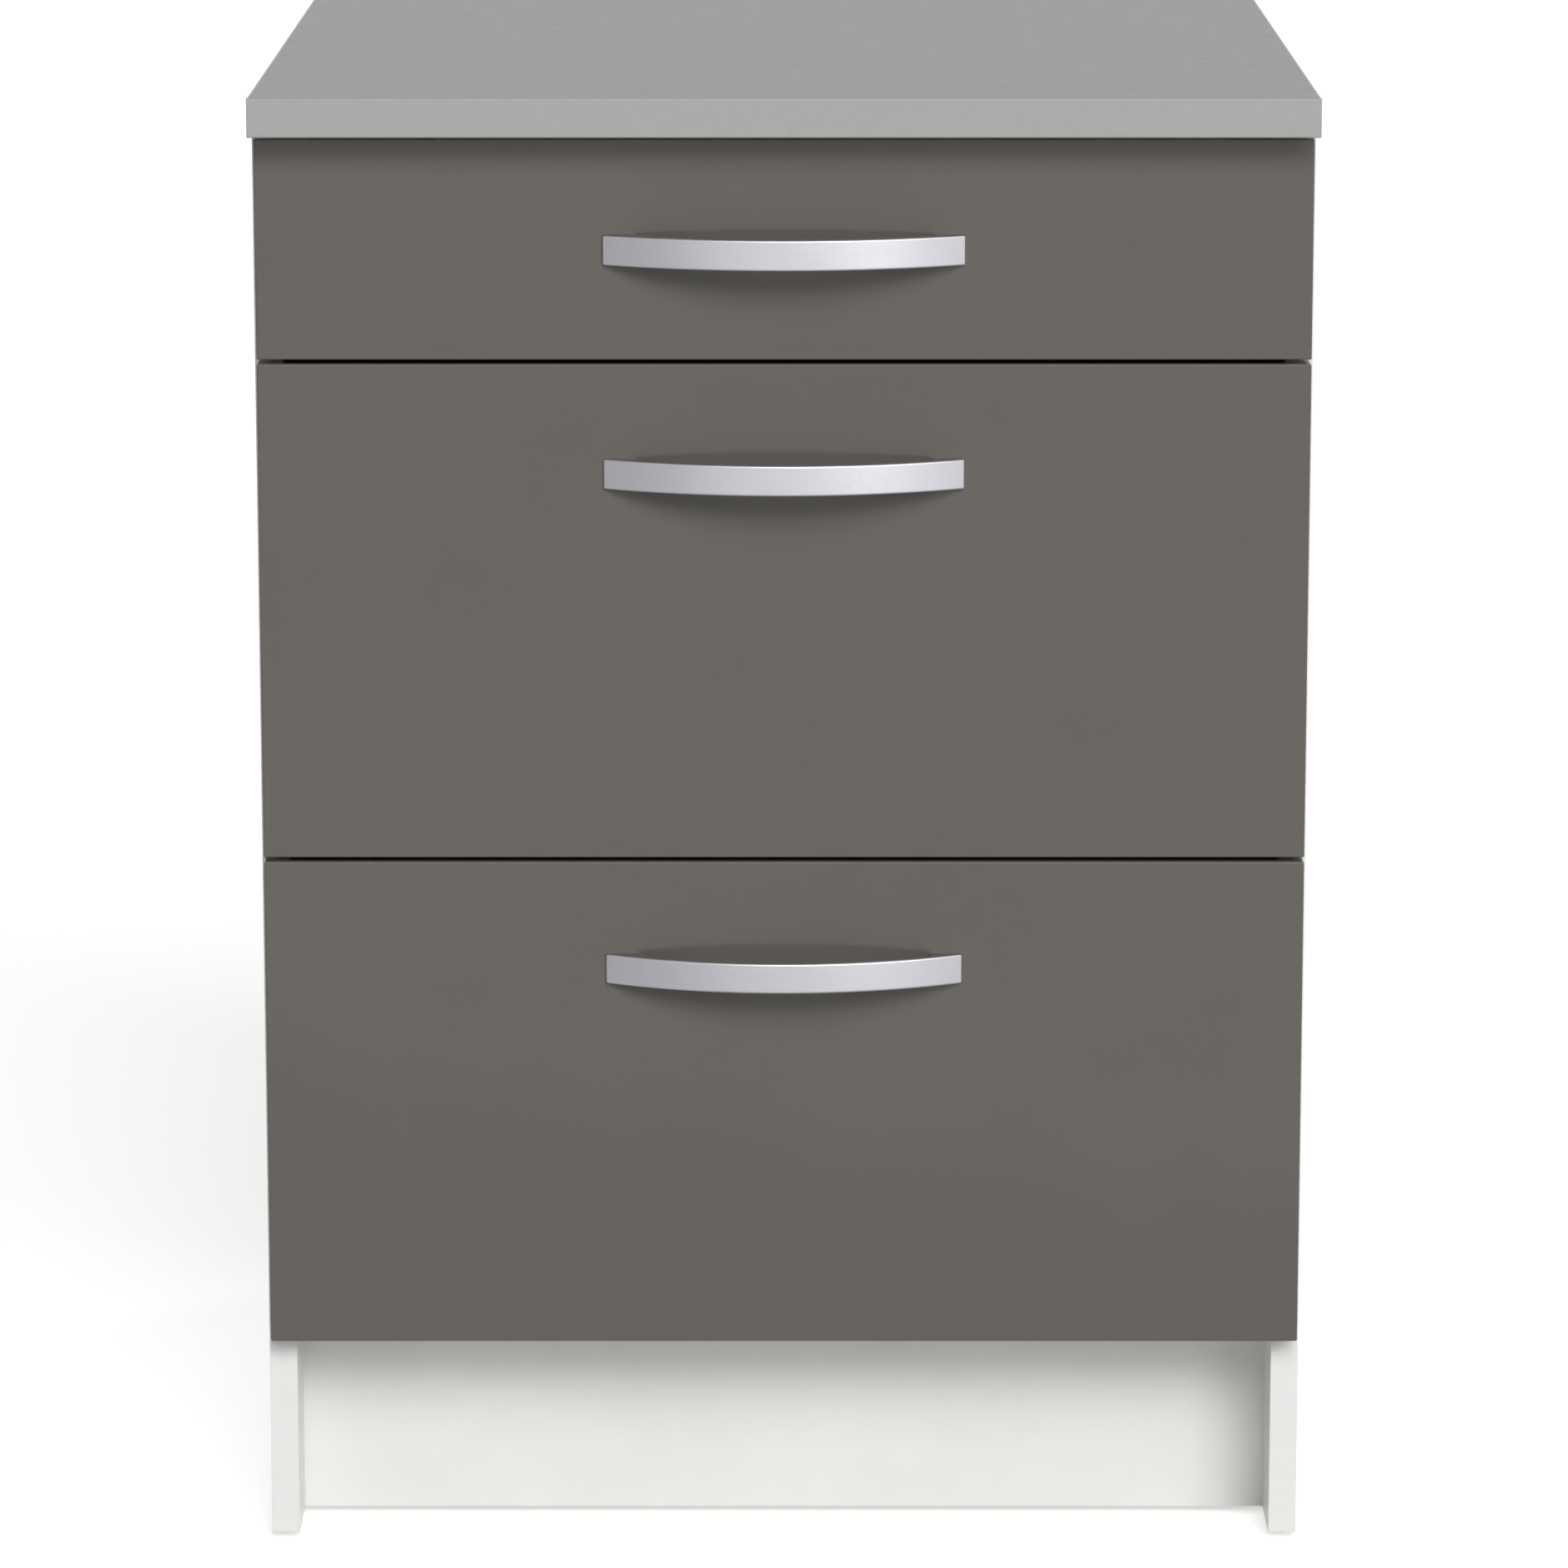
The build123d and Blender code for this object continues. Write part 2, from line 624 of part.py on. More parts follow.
def drawer_bottom(level, fit=0.0):
    """The thin bottom in grooves of the front and sides, or the space of its grooves."""
    low = channel_floor(level) + DRAWER_BOTTOM_LIFT
    reach = BOX_WIDTH / 2 - DRAWER_BOARD + DRAWER_GROOVE - PANEL_FIT + fit
    return board(
        (-reach, reach),
        (FRONT_BACK_FACE - DRAWER_GROOVE + PANEL_FIT - fit, BOX_REAR + fit),
        (low - fit, low + DRAWER_BOTTOM + fit),
    )


def under_screws(side, level, fit=0.0):
    """Two screws up through a drawer runner into its drawer side, or their holes."""
    x = side * (BOX_WIDTH / 2 - UNDER_SCREW_INSET)
    z = channel_floor(level) - SHEET
    places = (FRONT_BACK_FACE + UNDER_SCREW_FRONT, BOX_REAR - UNDER_SCREW_REAR)
    return [wood_screw((x, y, z), UP, fit) for y in places]


def back_screws(side, level, fit=0.0):
    """Two screws through a drawer side into the end of the drawer's back, or their holes."""
    x = side * BOX_WIDTH / 2
    y = BOX_REAR - DRAWER_BOARD / 2
    low = channel_floor(level) + CHANNEL_HEIGHT + BACK_SCREW_LIFT
    high = box_top(level) - BACK_SCREW_DROP
    return [wood_screw((x, y, z), (-side, 0, 0), fit) for z in (low, high)]


def drawer_cams(side, level):
    """The cam joints of one drawer side: one on the shallow drawer, two on a deep one."""
    low = channel_floor(level) + DRAWER_BOTTOM_LIFT + DRAWER_BOTTOM
    middle = (low + box_top(level)) / 2
    deep = box_top(level) - low > TWO_CAM_HEIGHT
    heights = (middle - JOINT_PITCH, middle + JOINT_PITCH) if deep else (middle,)
    x = side * (BOX_WIDTH - DRAWER_BOARD) / 2
    return [
        CamJoint(
            (x, FRONT_BACK_FACE, z),
            BACKWARD,
            (-side, 0, 0),
            DRAWER_BOARD,
            DRAWER_CAM_RADIUS,
            DRAWER_CAM_DEPTH,
            DRAWER_CAM_REACH,
        )
        for z in heights
    ]


def drawer_side(side, level):
    """A drawer side, grooved for the bottom and drilled for its cams and screws."""
    x = (side * BOX_WIDTH / 2, side * (BOX_WIDTH / 2 - DRAWER_BOARD))
    panel = board(x, (FRONT_BACK_FACE, BOX_REAR), (channel_floor(level), box_top(level)))
    lower = panel.edges().filter_by(Axis.Y).sort_by(Axis.Z)[:2]
    panel = fillet(lower.sort_by(Axis.X)[0 if side == LEFT else -1], BEND - SHEET / 2 + PANEL_FIT)
    bores = [cut for cam in drawer_cams(side, level) for cut in cam.board_cuts()]
    holes = under_screws(side, level, SCREW_FIT) + back_screws(side, level, SCREW_FIT)
    return panel - [drawer_bottom(level, PANEL_FIT)] - bores - holes


def drawer_back(level):
    """The drawer's back, between the sides and on top of the bottom."""
    half = BOX_WIDTH / 2 - DRAWER_BOARD
    low = channel_floor(level) + DRAWER_BOTTOM_LIFT + DRAWER_BOTTOM + PANEL_FIT
    panel = board((-half, half), (BOX_REAR - DRAWER_BOARD, BOX_REAR), (low, box_top(level)))
    holes = [hole for side in SIDES.values() for hole in back_screws(side, level, SCREW_FIT)]
    return panel - holes


def handle_height(level):
    """The height of the handle's middle."""
    edge, height, _ = LEVELS[level]
    return edge + height - HANDLE_DROP


def handle_shanks(level, fit=0.0):
    """The shanks of a handle's two machine screws, or with a fit the holes that they pass."""
    z = handle_height(level)
    tip = FRONT_FACE - handle_thread() - fit
    return [
        rod(HANDLE_SCREW_RADIUS + fit, (x, FRONT_BACK_FACE, z), (x, tip, z))
        for x in (-HANDLE_HOLE_SPACING / 2, HANDLE_HOLE_SPACING / 2)
    ]


def handle_screws(level):
    """The two machine screws of a handle, with pan heads against the back of the front."""
    screws = []
    for shank in handle_shanks(level):
        x, _, z = shank.center()
        end = (x, FRONT_BACK_FACE + HANDLE_SCREW_HEAD, z)
        cap = rod(HANDLE_SCREW_HEAD_RADIUS, (x, FRONT_BACK_FACE, z), end)
        head = fillet(cap.faces().sort_by(Axis.Y)[-1].edges(), HANDLE_SCREW_ROUNDING)
        screws.append(shank + head)
    return screws


def drawer_front(level):
    """A front with rounded arrises, grooved behind and drilled for its handle and bolts."""
    edge, height, _ = LEVELS[level]
    half = CABINET_WIDTH / 2 - FRONT_SIDE_MARGIN
    slab = board((-half, half), (FRONT_FACE, FRONT_BACK_FACE), (edge, edge + height))
    corners = fillet(slab.edges().filter_by(Axis.Y), FRONT_ARRIS)
    front = fillet(corners.faces().sort_by(Axis.Y)[0].edges(), FRONT_ARRIS)
    play = HANDLE_SCREW_HOLE_RADIUS - HANDLE_SCREW_RADIUS
    holes = handle_shanks(level, play)
    bolts = [cam.neighbour_hole() for side in SIDES.values() for cam in drawer_cams(side, level)]
    return front - [drawer_bottom(level, PANEL_FIT)] - holes - bolts


def handle_reach(x, radius=HANDLE_RADIUS):
    """How far an arc of the bow stands off the front at x."""
    return sqrt(radius**2 - x**2) - (HANDLE_RADIUS - HANDLE_PROJECTION)


def handle_thread():
    """The depth of a handle screw in the foot, which leaves a wall all over its hole."""
    hole_edge = HANDLE_HOLE_SPACING / 2 + HANDLE_SCREW_RADIUS + SCREW_FIT
    return handle_reach(hole_edge) - SCREW_FIT - HANDLE_THREAD_WALL


def handle(level):
    """A bowed band that runs into a solid foot at each end, with a blind hole in each foot."""
    centre = Pos(0, HANDLE_PROJECTION - HANDLE_RADIUS)
    bow = centre * Circle(HANDLE_RADIUS)
    ends = Pos(0, HANDLE_PROJECTION / 2) * Rectangle(HANDLE_LENGTH, HANDLE_PROJECTION)
    inner = centre * Circle(HANDLE_RADIUS - HANDLE_BAND)
    grip = inner & Rectangle(HANDLE_GRIP, 2 * HANDLE_PROJECTION)
    plan = bow & ends - grip
    corners = plan.vertices().group_by(lambda corner: round(abs(corner.X)))[-1]
    plan = fillet(corners.sort_by(Axis.Y)[-2:], HANDLE_TIP_ROUNDING)
    band = extrude(plan, HANDLE_HEIGHT / 2, both=True)
    band = fillet(arcs_of(band, HANDLE_RADIUS), HANDLE_ROUNDING)
    band = fillet(arcs_of(band, HANDLE_RADIUS - HANDLE_BAND), HANDLE_INNER_ROUNDING)
    placed = Pos(0, FRONT_FACE, handle_height(level)) * Rot(0, 0, 180) * band
    return placed - handle_shanks(level, SCREW_FIT)


def arcs_of(band, radius):
    """The edges of a band that are arcs of this radius."""
    arcs = band.edges().filter_by(GeomType.CIRCLE)
    return arcs.filter_by(lambda arc: abs(arc.radius - radius) < SAME_RADIUS)


def carcass_nodes():
    """Every piece that stands still."""
    nodes = {
        "worktop": worktop(),
        "left_side_panel": side_panel(LEFT),
        "right_side_panel": side_panel(RIGHT),
        "bottom_panel": bottom_panel(),
        "front_top_rail": top_rail("front_top_rail", CARCASS_FRONT),
        "rear_top_rail": top_rail("rear_top_rail", REAR_RAIL_FRONT),
        "back_panel": back_panel(),
        "plinth_panel": plinth_panel(),
        "floor_glides": group(glides(LEFT) + glides(RIGHT)),
        "carcass_dowels": group(piece for name in BOARDS_JOINED for piece in dowels(name)),
        "carcass_cam_bolts": group(cam.bolt() for name in BOARDS_JOINED for cam in cams(name)),
        "carcass_cam_locks": group(cam.lock() for name in BOARDS_JOINED for cam in cams(name)),
        "worktop_screws": group(worktop_screws(FRONT_RAIL_MID) + worktop_screws(REAR_RAIL_MID)),
        "runner_screws": group(runner_screws(LEFT) + runner_screws(RIGHT)),
        "front_bumpers": group(front_bumpers()),
    }
    for level in LEVELS:
        for word, side in SIDES.items():
            nodes[f"{level}_cabinet_runner_{word}"] = cabinet_runner(side, level)
    return nodes


def drawer_nodes(level):
    """Every piece of one drawer, and the rollers that turn as it slides."""
    nodes = {
        f"{level}_drawer_front": drawer_front(level),
        f"{level}_drawer_back": drawer_back(level),
        f"{level}_drawer_bottom": drawer_bottom(level),
        f"{level}_handle": handle(level),
        f"{level}_handle_screws": group(handle_screws(level)),
        f"{level}_cabinet_rollers": group(cabinet_rollers(level)),
        f"{level}_drawer_rollers": group(drawer_rollers(level)),
    }
    fittings = []
    screws = []
    for word, side in SIDES.items():
        nodes[f"{level}_drawer_side_{word}"] = drawer_side(side, level)
        nodes[f"{level}_drawer_runner_{word}"] = drawer_runner(side, level)
        for cam in drawer_cams(side, level):
            fittings += [cam.bolt(), cam.lock()]
        screws += under_screws(side, level) + back_screws(side, level)
    nodes[f"{level}_drawer_cam_fittings"] = group(fittings)
    nodes[f"{level}_drawer_screws"] = group(screws)
    return nodes


os.makedirs("parts", exist_ok=True)
nodes = carcass_nodes()
for level in LEVELS:
    nodes.update(drawer_nodes(level))
for name, shape in nodes.items():
    export_step(shape, f"parts/{name}.step")
print(len(nodes), "pieces written")
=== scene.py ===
import json
from math import cos, pi, radians, sin

import bmesh
import bpy
from mathutils import Matrix, Vector


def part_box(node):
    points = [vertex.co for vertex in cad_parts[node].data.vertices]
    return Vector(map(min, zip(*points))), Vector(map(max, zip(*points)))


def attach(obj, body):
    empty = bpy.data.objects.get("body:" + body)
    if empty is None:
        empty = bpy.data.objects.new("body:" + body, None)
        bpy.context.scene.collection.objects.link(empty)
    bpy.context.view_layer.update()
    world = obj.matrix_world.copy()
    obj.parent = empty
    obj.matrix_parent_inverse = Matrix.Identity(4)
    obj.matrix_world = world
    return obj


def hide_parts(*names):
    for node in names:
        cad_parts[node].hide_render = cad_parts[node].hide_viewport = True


# A kitchen base cabinet with three drawers on roller runners, dressed around its fixed frame.
# Metres. The fronts face -Y, the wall is behind at +Y and the floor is at z = 0.

bl_info = {
    "name": "Base cabinet with drawers",
    "version": (1, 0, 0),
    "blender": (4, 5, 0),
    "location": "3D View > Sidebar > Cabinet",
    "description": "Fronts, handles, worktop, edge bands, screws and finishes of a kitchen cabinet",
    "category": "Add Mesh",
}

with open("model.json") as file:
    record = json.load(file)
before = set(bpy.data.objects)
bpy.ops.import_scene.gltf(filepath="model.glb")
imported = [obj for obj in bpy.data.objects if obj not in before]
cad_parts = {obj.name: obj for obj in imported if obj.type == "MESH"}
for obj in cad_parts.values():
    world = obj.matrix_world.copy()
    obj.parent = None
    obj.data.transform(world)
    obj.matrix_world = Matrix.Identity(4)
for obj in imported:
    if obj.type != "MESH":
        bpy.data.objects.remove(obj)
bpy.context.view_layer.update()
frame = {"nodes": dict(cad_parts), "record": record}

MM = 0.001
SAME = 0.02 * MM
LEVELS = ("top", "middle", "bottom")
X, Y, Z = 0, 1, 2

# Angles: faces that count as one, edges that stay sharp, and a corner of the handle
FLAT = radians(0.1)
SHARP = radians(35)
CORNER = radians(30)
# A normal's part along an axis: above the first it looks along it, below the second across it
ALONG = 0.9
ACROSS = 0.1

# How many flats make an edge that is rounded, softened, scraped or only broken
ROUNDED = 5
SOFTENED = 4
SCRAPED = 2
BROKEN = 1
# Small edges of the worktop, and the share of a white band's thickness that is scraped round
CORE_EDGE = 0.1 * MM
LAMINATE_REAR_EDGE = 0.15 * MM
BAND_SCRAPE = 0.6
# How far past a face a cutting tool stands out, and a bolt counts as going in
PAST = 1.0 * MM

# The bow handle, whose length, height and projection come from the frame
HANDLE_BAND = 4.0 * MM
HANDLE_TIP = 1.8 * MM
HANDLE_TIP_ROUNDING = 1.0 * MM
HANDLE_FOOT = 12.0 * MM
HANDLE_ARC_SIDES = 900
# How far an upright face looks away from the arc's centre: above the first it is on the grip's
# outside, and below the second on its inside
HANDLE_OUTSIDE = 0.3
HANDLE_INSIDE = -0.95

# Screws, and how many sides they, their holes and the bumpers have
ROUND_SIDES = 32
COUNTERSUNK_RIM = 0.2 * MM
WOOD_RECESS = (4.4 * MM, 1.1 * MM, 2.0 * MM)
RUNNER_RECESS = (4.6 * MM, 1.2 * MM, 1.9 * MM)
MACHINE_RECESS = (4.8 * MM, 1.2 * MM, 1.5 * MM)
PAN_ROUNDING = 0.85 * MM
# A screw's end: its length in shank radii, and the share of the shank that is left at its tip
WOOD_END = (2.0, 0.3)
MACHINE_END = (0.3, 0.7)

# A board is raw where its normal has less than the first along its axis, faced above the second
RAW_EDGE = 0.6
BOARD_FACE = 0.8
# The white and the brown of a sheet meet where its normal has less than this along its axis
SHEET_TURN = 0.2
# How far the streaks of an edge band stray from its tone
STONE_STREAKS = 0.025
WHITE_STREAKS = 0.012
# Between these a noise texture has nearly all of its values
NOISE_LOW = 0.3
NOISE_HIGH = 0.7
# The scale at which Blender's wave texture makes one wave in a unit of length
WAVE = 2 * pi / 20

# The photograph's camera is level and shifted. This one is tilted down instead, and stands where
# its picture comes nearest to the photograph's
CAMERA_PLACE = (0.0, -4.275, 1.281)
CAMERA_PITCH = 11.66
CAMERA_LENS = 164.1
CAMERA_SENSOR = 36.0

FLOOR_SIZE = 80

# The panels that shine in the fronts and handles: how far away, and how wide and tall
PANEL_PLACE = 1.1
PANEL_SIZE = (3.0, 1.7)
STRIP_PLACE = 2.8
STRIP_SIZE = (0.67, 1.6)


def linear(code):
    """An sRGB hex colour as the linear red, green, blue and alpha that a shader takes."""
    parts = [int(code[place:place + 2], 16) / 255 for place in (1, 3, 5)]
    parts = [part / 12.92 if part <= 0.04045 else ((part + 0.055) / 1.055) ** 2.4 for part in parts]
    return (*parts, 1.0)


def length(name, description, default):
    """A size that a user may change."""
    return bpy.props.FloatProperty(
        name=name, description=description, default=default, min=0, unit="LENGTH", precision=4
    )


def colour(name, description, default):
    """A colour that a user may change."""
    return bpy.props.FloatVectorProperty(
        name=name, description=description, default=default, min=0, max=1, size=4, subtype="COLOR"
    )


def angle(name, description, default):
    """An angle in degrees that a user may change."""
    return bpy.props.FloatProperty(
        name=name, description=description, default=radians(default), subtype="ANGLE"
    )


def strength(name, description, default, **limits):
    """How strong a light is or how bright a surface, which a user may change."""
    return bpy.props.FloatProperty(
        name=name, description=description, default=default, min=0, **limits
    )


class CabinetSizes(bpy.types.PropertyGroup):
    """Small sizes that the frame leaves to the maker."""

    front_arris: length("Front arris", "Radius of the fronts' rounded edges", 1.0 * MM)
    worktop_arris: length("Worktop arris", "Radius of the worktop's rounded edges", 0.8 * MM)
    worktop_band: length("Worktop band", "Thickness of the worktop's edge bands", 1.3 * MM)
    laminate: length("Laminate", "Thickness of the laminate on the worktop", 0.7 * MM)
    board_band: length("Board band", "Thickness of the white edge bands", 0.4 * MM)
    handle_arris: length("Handle arris", "Radius of the handle's outer edges", 1.4 * MM)
    handle_inner_arris: length("Handle inner arris", "Radius of the grip's inner edges", 0.8 * MM)
    bumper_rounding: length("Bumper rounding", "Radius of a bumper's rounded rim", 1.2 * MM)
    groove_fit: length("Groove fit", "Play of the drawer bottom in its grooves", 0.1 * MM)
    hole_fit: length("Hole fit", "Play of a screw or bolt in its hole", 0.25 * MM)


class CabinetColours(bpy.types.PropertyGroup):
    """The colours of the visible finishes."""

    front: colour("Fronts", "Gloss taupe of the drawer fronts", linear("#5E5A55"))
    laminate: colour("Worktop", "Stone grey of the worktop's laminate", linear("#969696"))
    laminate_band: colour("Worktop band", "Grey of the worktop's edge bands", linear("#989897"))
    melamine: colour("Boards", "White of the melamine-faced boards", linear("#DCDCDA"))
    band: colour("Edge bands", "White of the boards' edge bands", linear("#DEDEDC"))
    aluminium: colour("Handles", "Satin aluminium of the handles", linear("#9C9B9F"))
    epoxy: colour("Runners", "White of the coated steel runners", linear("#E6E6E3"))
    chipboard: colour("Chipboard", "Raw edges of the boards", linear("#C6A273"))
    hardboard: colour("Hardboard", "Brown reverse of back and drawer bottoms", linear("#80603F"))


class StudioSettings(bpy.types.PropertyGroup):
    """The light that the cabinet is seen in."""

    key_level: strength("Key light", "Level of the soft light in front and above", 1.76)
    key_turn: angle("Key turn", "How far the key light stands to the right", 8)
    key_height: angle("Key height", "How far the key light stands above the horizon", 38)
    key_width: angle("Key width", "How wide the key light looks from the cabinet", 28)
    fill_level: strength("Fill light", "Level of the soft light low on the right", 1.13)
    fill_turn: angle("Fill turn", "How far the fill light stands to the right", 32)
    fill_height: angle("Fill height", "How far the fill light stands above the horizon", 24)
    fill_width: angle("Fill width", "How wide the fill light looks from the cabinet", 26)
    rear_level: strength("Rear lights", "Level of the two soft lights behind, left and right", 1.55)
    rear_turn: angle("Rear turn", "How far the rear lights stand to either side", 128)
    rear_height: angle("Rear height", "How far the rear lights stand above the horizon", 6)
    rear_width: angle("Rear width", "How wide each rear light looks from the cabinet", 20)
    panel_power: strength("Panel light", "Power of the wide panel in front", 11.5, unit="POWER")
    panel_turn: angle("Panel turn", "How far the wide panel stands to the right", 28)
    strip_power: strength("Strip light", "Power of the narrow strip on the right", 5.0, unit="POWER")
    strip_turn: angle("Strip turn", "How far the strip stands to the right", 26)
    surround: strength("Surround", "Brightness of the light from all round", 0.14, max=1)
    floor: colour("Floor", "Pale floor under the cabinet", linear("#D8D8D8"))
    floor_lift: strength("Floor lift", "White that the eye sees added to the floor", 0.58, max=1)


# Modelling


def corners(node):
    """The lowest and highest corner of a CAD node."""
    low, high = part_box(node)
    return Vector(low), Vector(high)


def body_of(node):
    """The body that a CAD node moves with."""
    bodies = frame["record"]["behaviour"]["bodies"]
    return next(body for body, names in bodies.items() if node in names)


def slot_of(node):
    """The record's material slot of a CAD node."""
    rows = frame["record"]["subparts"]
    return next(row["material_slot"] for row in rows if row["node"] == node)


def settle(name):
    """Names the new primitive and puts its place and size into its mesh."""
    piece = bpy.context.object
    piece.name = name
    piece.data.name = name
    bpy.ops.object.transform_apply(location=True, rotation=True, scale=True)
    return piece


def block(name, low, high):
    """A block between two corners."""
    low, high = Vector(low), Vector(high)
    bpy.ops.object.select_all(action="DESELECT")
    bpy.ops.mesh.primitive_cube_add(size=1, location=(low + high) / 2, scale=high - low)
    return settle(name)


def drum(name, radius, start, end):
    """A cylinder from one point to another."""
    start, end = Vector(start), Vector(end)
    way = end - start
    bpy.ops.object.select_all(action="DESELECT")
    bpy.ops.mesh.primitive_cylinder_add(
        vertices=ROUND_SIDES,
        radius=radius,
        depth=way.length,
        location=(start + end) / 2,
        rotation=way.to_track_quat("Z", "Y").to_euler(),
    )
    return settle(name)


def choose(piece, kind, wanted):
    """Goes into edit mode with only those faces or edges selected whose place passes the test."""
    bpy.ops.object.select_all(action="DESELECT")
    bpy.context.view_layer.objects.active = piece
    piece.select_set(True)
    bpy.ops.object.mode_set(mode="EDIT")
    bpy.ops.mesh.select_mode(type=kind)
    bpy.ops.mesh.select_all(action="DESELECT")
    mesh = bmesh.from_edit_mesh(piece.data)
    for part in mesh.faces if kind == "FACE" else mesh.edges:
        if wanted(part):
            part.select_set(True)
    bmesh.update_edit_mesh(piece.data)


def leave():
    """Goes back to object mode."""
    bpy.ops.object.mode_set(mode="OBJECT")


def round_edges(piece, radius, segments, wanted):
    """Rounds the edges that pass the test."""
    choose(piece, "EDGE", wanted)
    bpy.ops.mesh.bevel(offset=radius, segments=segments, affect="EDGES", clamp_overlap=False)
    leave()


def cut(piece, tools):
    """Takes the shapes of the tools out of the piece, and the tools away."""
    for tool in tools:
        modifier = piece.modifiers.new("Cut", "BOOLEAN")
        modifier.operation = "DIFFERENCE"
        modifier.solver = "MANIFOLD"
        modifier.object = tool
        bpy.context.view_layer.objects.active = piece
        bpy.ops.object.modifier_apply(modifier=modifier.name)
        bpy.data.objects.remove(tool)


def join(name, parts):
    """Several like parts made one piece."""
    bpy.ops.object.select_all(action="DESELECT")
    for part in parts:
        part.select_set(True)
    bpy.context.view_layer.objects.active = parts[0]
    if len(parts) > 1:
        bpy.ops.object.join()
    parts[0].name = name
    parts[0].data.name = name
    return parts[0]


def copied(piece, name, matrix):
    """A copy of a piece with its own mesh, moved or turned in that mesh."""
    twin = piece.copy()
    twin.data = piece.data.copy()
    twin.name = name
    twin.data.name = name
    bpy.context.collection.objects.link(twin)
    twin.data.transform(matrix)
    return twin


def middle(part):
    """The middle of a face or an edge."""
    if isinstance(part, bmesh.types.BMFace):
        return part.calc_center_median()
    return (part.verts[0].co + part.verts[1].co) / 2


def at(value, wanted):
    """Whether two places along an axis are the same."""
    return abs(value - wanted) < SAME


def lies(axis, wanted):
    """The test for the edges or faces whose middle is at this place along an axis."""
    return lambda part: at(middle(part)[axis], wanted)


def dress(piece, body, materials, replaced=()):
    """Smooths a finished piece, gives it its materials, hangs it on the body that it moves with, and
    hides the CAD nodes that it stands in for.

    Flat faces keep their own normals, so that a gloss runs straight up to a rounded edge.
    """
    bpy.ops.object.select_all(action="DESELECT")
    bpy.context.view_layer.objects.active = piece
    piece.select_set(True)
    bpy.ops.object.shade_smooth_by_angle(angle=SHARP)
    normals = piece.modifiers.new("Normals", "WEIGHTED_NORMAL")
    normals.keep_sharp = True
    bpy.ops.object.modifier_apply(modifier=normals.name)
    piece.data.materials.clear()
    for material in materials:
        piece.data.materials.append(material)
    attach(piece, body)
    if replaced:
        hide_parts(*replaced)


def solids(node):
    """The separate solids of a CAD node, each as a list of its corners, in a steady order."""
    mesh = bmesh.new()
    mesh.from_mesh(frame["nodes"][node].data)
    bmesh.ops.remove_doubles(mesh, verts=mesh.verts, dist=SAME)
    left = set(mesh.verts)
    found = []
    while left:
        open_ends = [left.pop()]
        places = []
        while open_ends:
            corner = open_ends.pop()
            places.append(corner.co.copy())
            for edge in corner.link_edges:
                other = edge.other_vert(corner)
                if other in left:
                    left.remove(other)
                    open_ends.append(other)
        found.append(places)
    mesh.free()
    return sorted(found, key=lambda places: [round(value, 5) for value in limits(places)[0]])


def limits(places):
    """The lowest and highest corner of a list of places."""
    low = Vector([min(place[axis] for place in places) for axis in (X, Y, Z)])
    high = Vector([max(place[axis] for place in places) for axis in (X, Y, Z)])
    return low, high


class Bar:
    """A round solid of the frame, such as a screw or a bolt, from its head to its tail."""

    def __init__(self, places):
        low, high = limits(places)
        centre = (low + high) / 2
        size = high - low
        axis = max((X, Y, Z), key=lambda each: size[each])
        ends = [centre.copy(), centre.copy()]
        ends[0][axis] = low[axis]
        ends[1][axis] = high[axis]
        rings = []
        for place in places:
            off = place - centre
            off[axis] = 0
            rings.append((place[axis], off.length))
        self.wide = max(radius for _, radius in rings)
        rims = [along for along, radius in rings if radius > self.wide - SAME]
        rim = sum(rims) / len(rims)
        ends.sort(key=lambda end: abs(end[axis] - rim))
        self.head, self.tail = ends
        self.reach = size[axis]
        self.neck = max(abs(along - self.head[axis]) for along in rims)
        round_rings = [ring for ring in rings if ring[1] > SAME]
        self.shank = min(round_rings, key=lambda ring: (abs(ring[0] - self.tail[axis]), -ring[1]))[1]

    def hole(self, fit):
        """A tool that bores the whole length of the bar, with this much play all round."""
        return drum("hole", self.shank + fit, self.head, self.tail)

    def seat(self):
        """The matrix that puts a screw standing on its point where this one is."""
        turn = (self.head - self.tail).to_track_quat("Z", "Y").to_matrix().to_4x4()
        return Matrix.Translation(self.head) @ turn


def bars(node):
    """The round solids of a CAD node."""
    return [Bar(places) for places in solids(node)]


# Finishes


def plug(tree, socket, value):
    """Links an output to a socket, or sets the socket to a plain value."""
    if isinstance(value, bpy.types.NodeSocket):
        tree.links.new(value, socket)
    else:
        socket.default_value = value


def add(tree, kind, values=None, output=None, **settings):
    """Adds a shader node with its settings, and with the values and outputs that its sockets take.

    It gives the output that is asked for, or else the node.
    """
    node = tree.nodes.new("ShaderNode" + kind)
    for name, value in settings.items():
        setattr(node, name, value)
    for name, value in (values or {}).items():
        plug(tree, next(each for each in node.inputs if name in (each.identifier, each.name)), value)
    if output is None:
        return node
    return next(each for each in node.outputs if output in (each.identifier, each.name))


def per_metre(size):
    """The scale of a pattern whose features are this many millimetres wide."""
    return 1000 / size


def shade(tone, share):
    """A colour made darker or lighter."""
    return (*(min(part * share, 1.0) for part in tone[:3]), 1.0)


def start_finish(name, **sockets):
    """A new material with its surface shader, and the place on the object that patterns read."""
    material = bpy.data.materials.new(name)
    material.use_nodes = True
    tree = material.node_tree
    tree.nodes.clear()
    skin = add(tree, "BsdfPrincipled", {key.replace("_", " "): sockets[key] for key in sockets})
    add(tree, "OutputMaterial", {"Surface": skin.outputs["BSDF"]})
    place = add(tree, "TexCoord", output="Object")
    return material, tree, skin, place


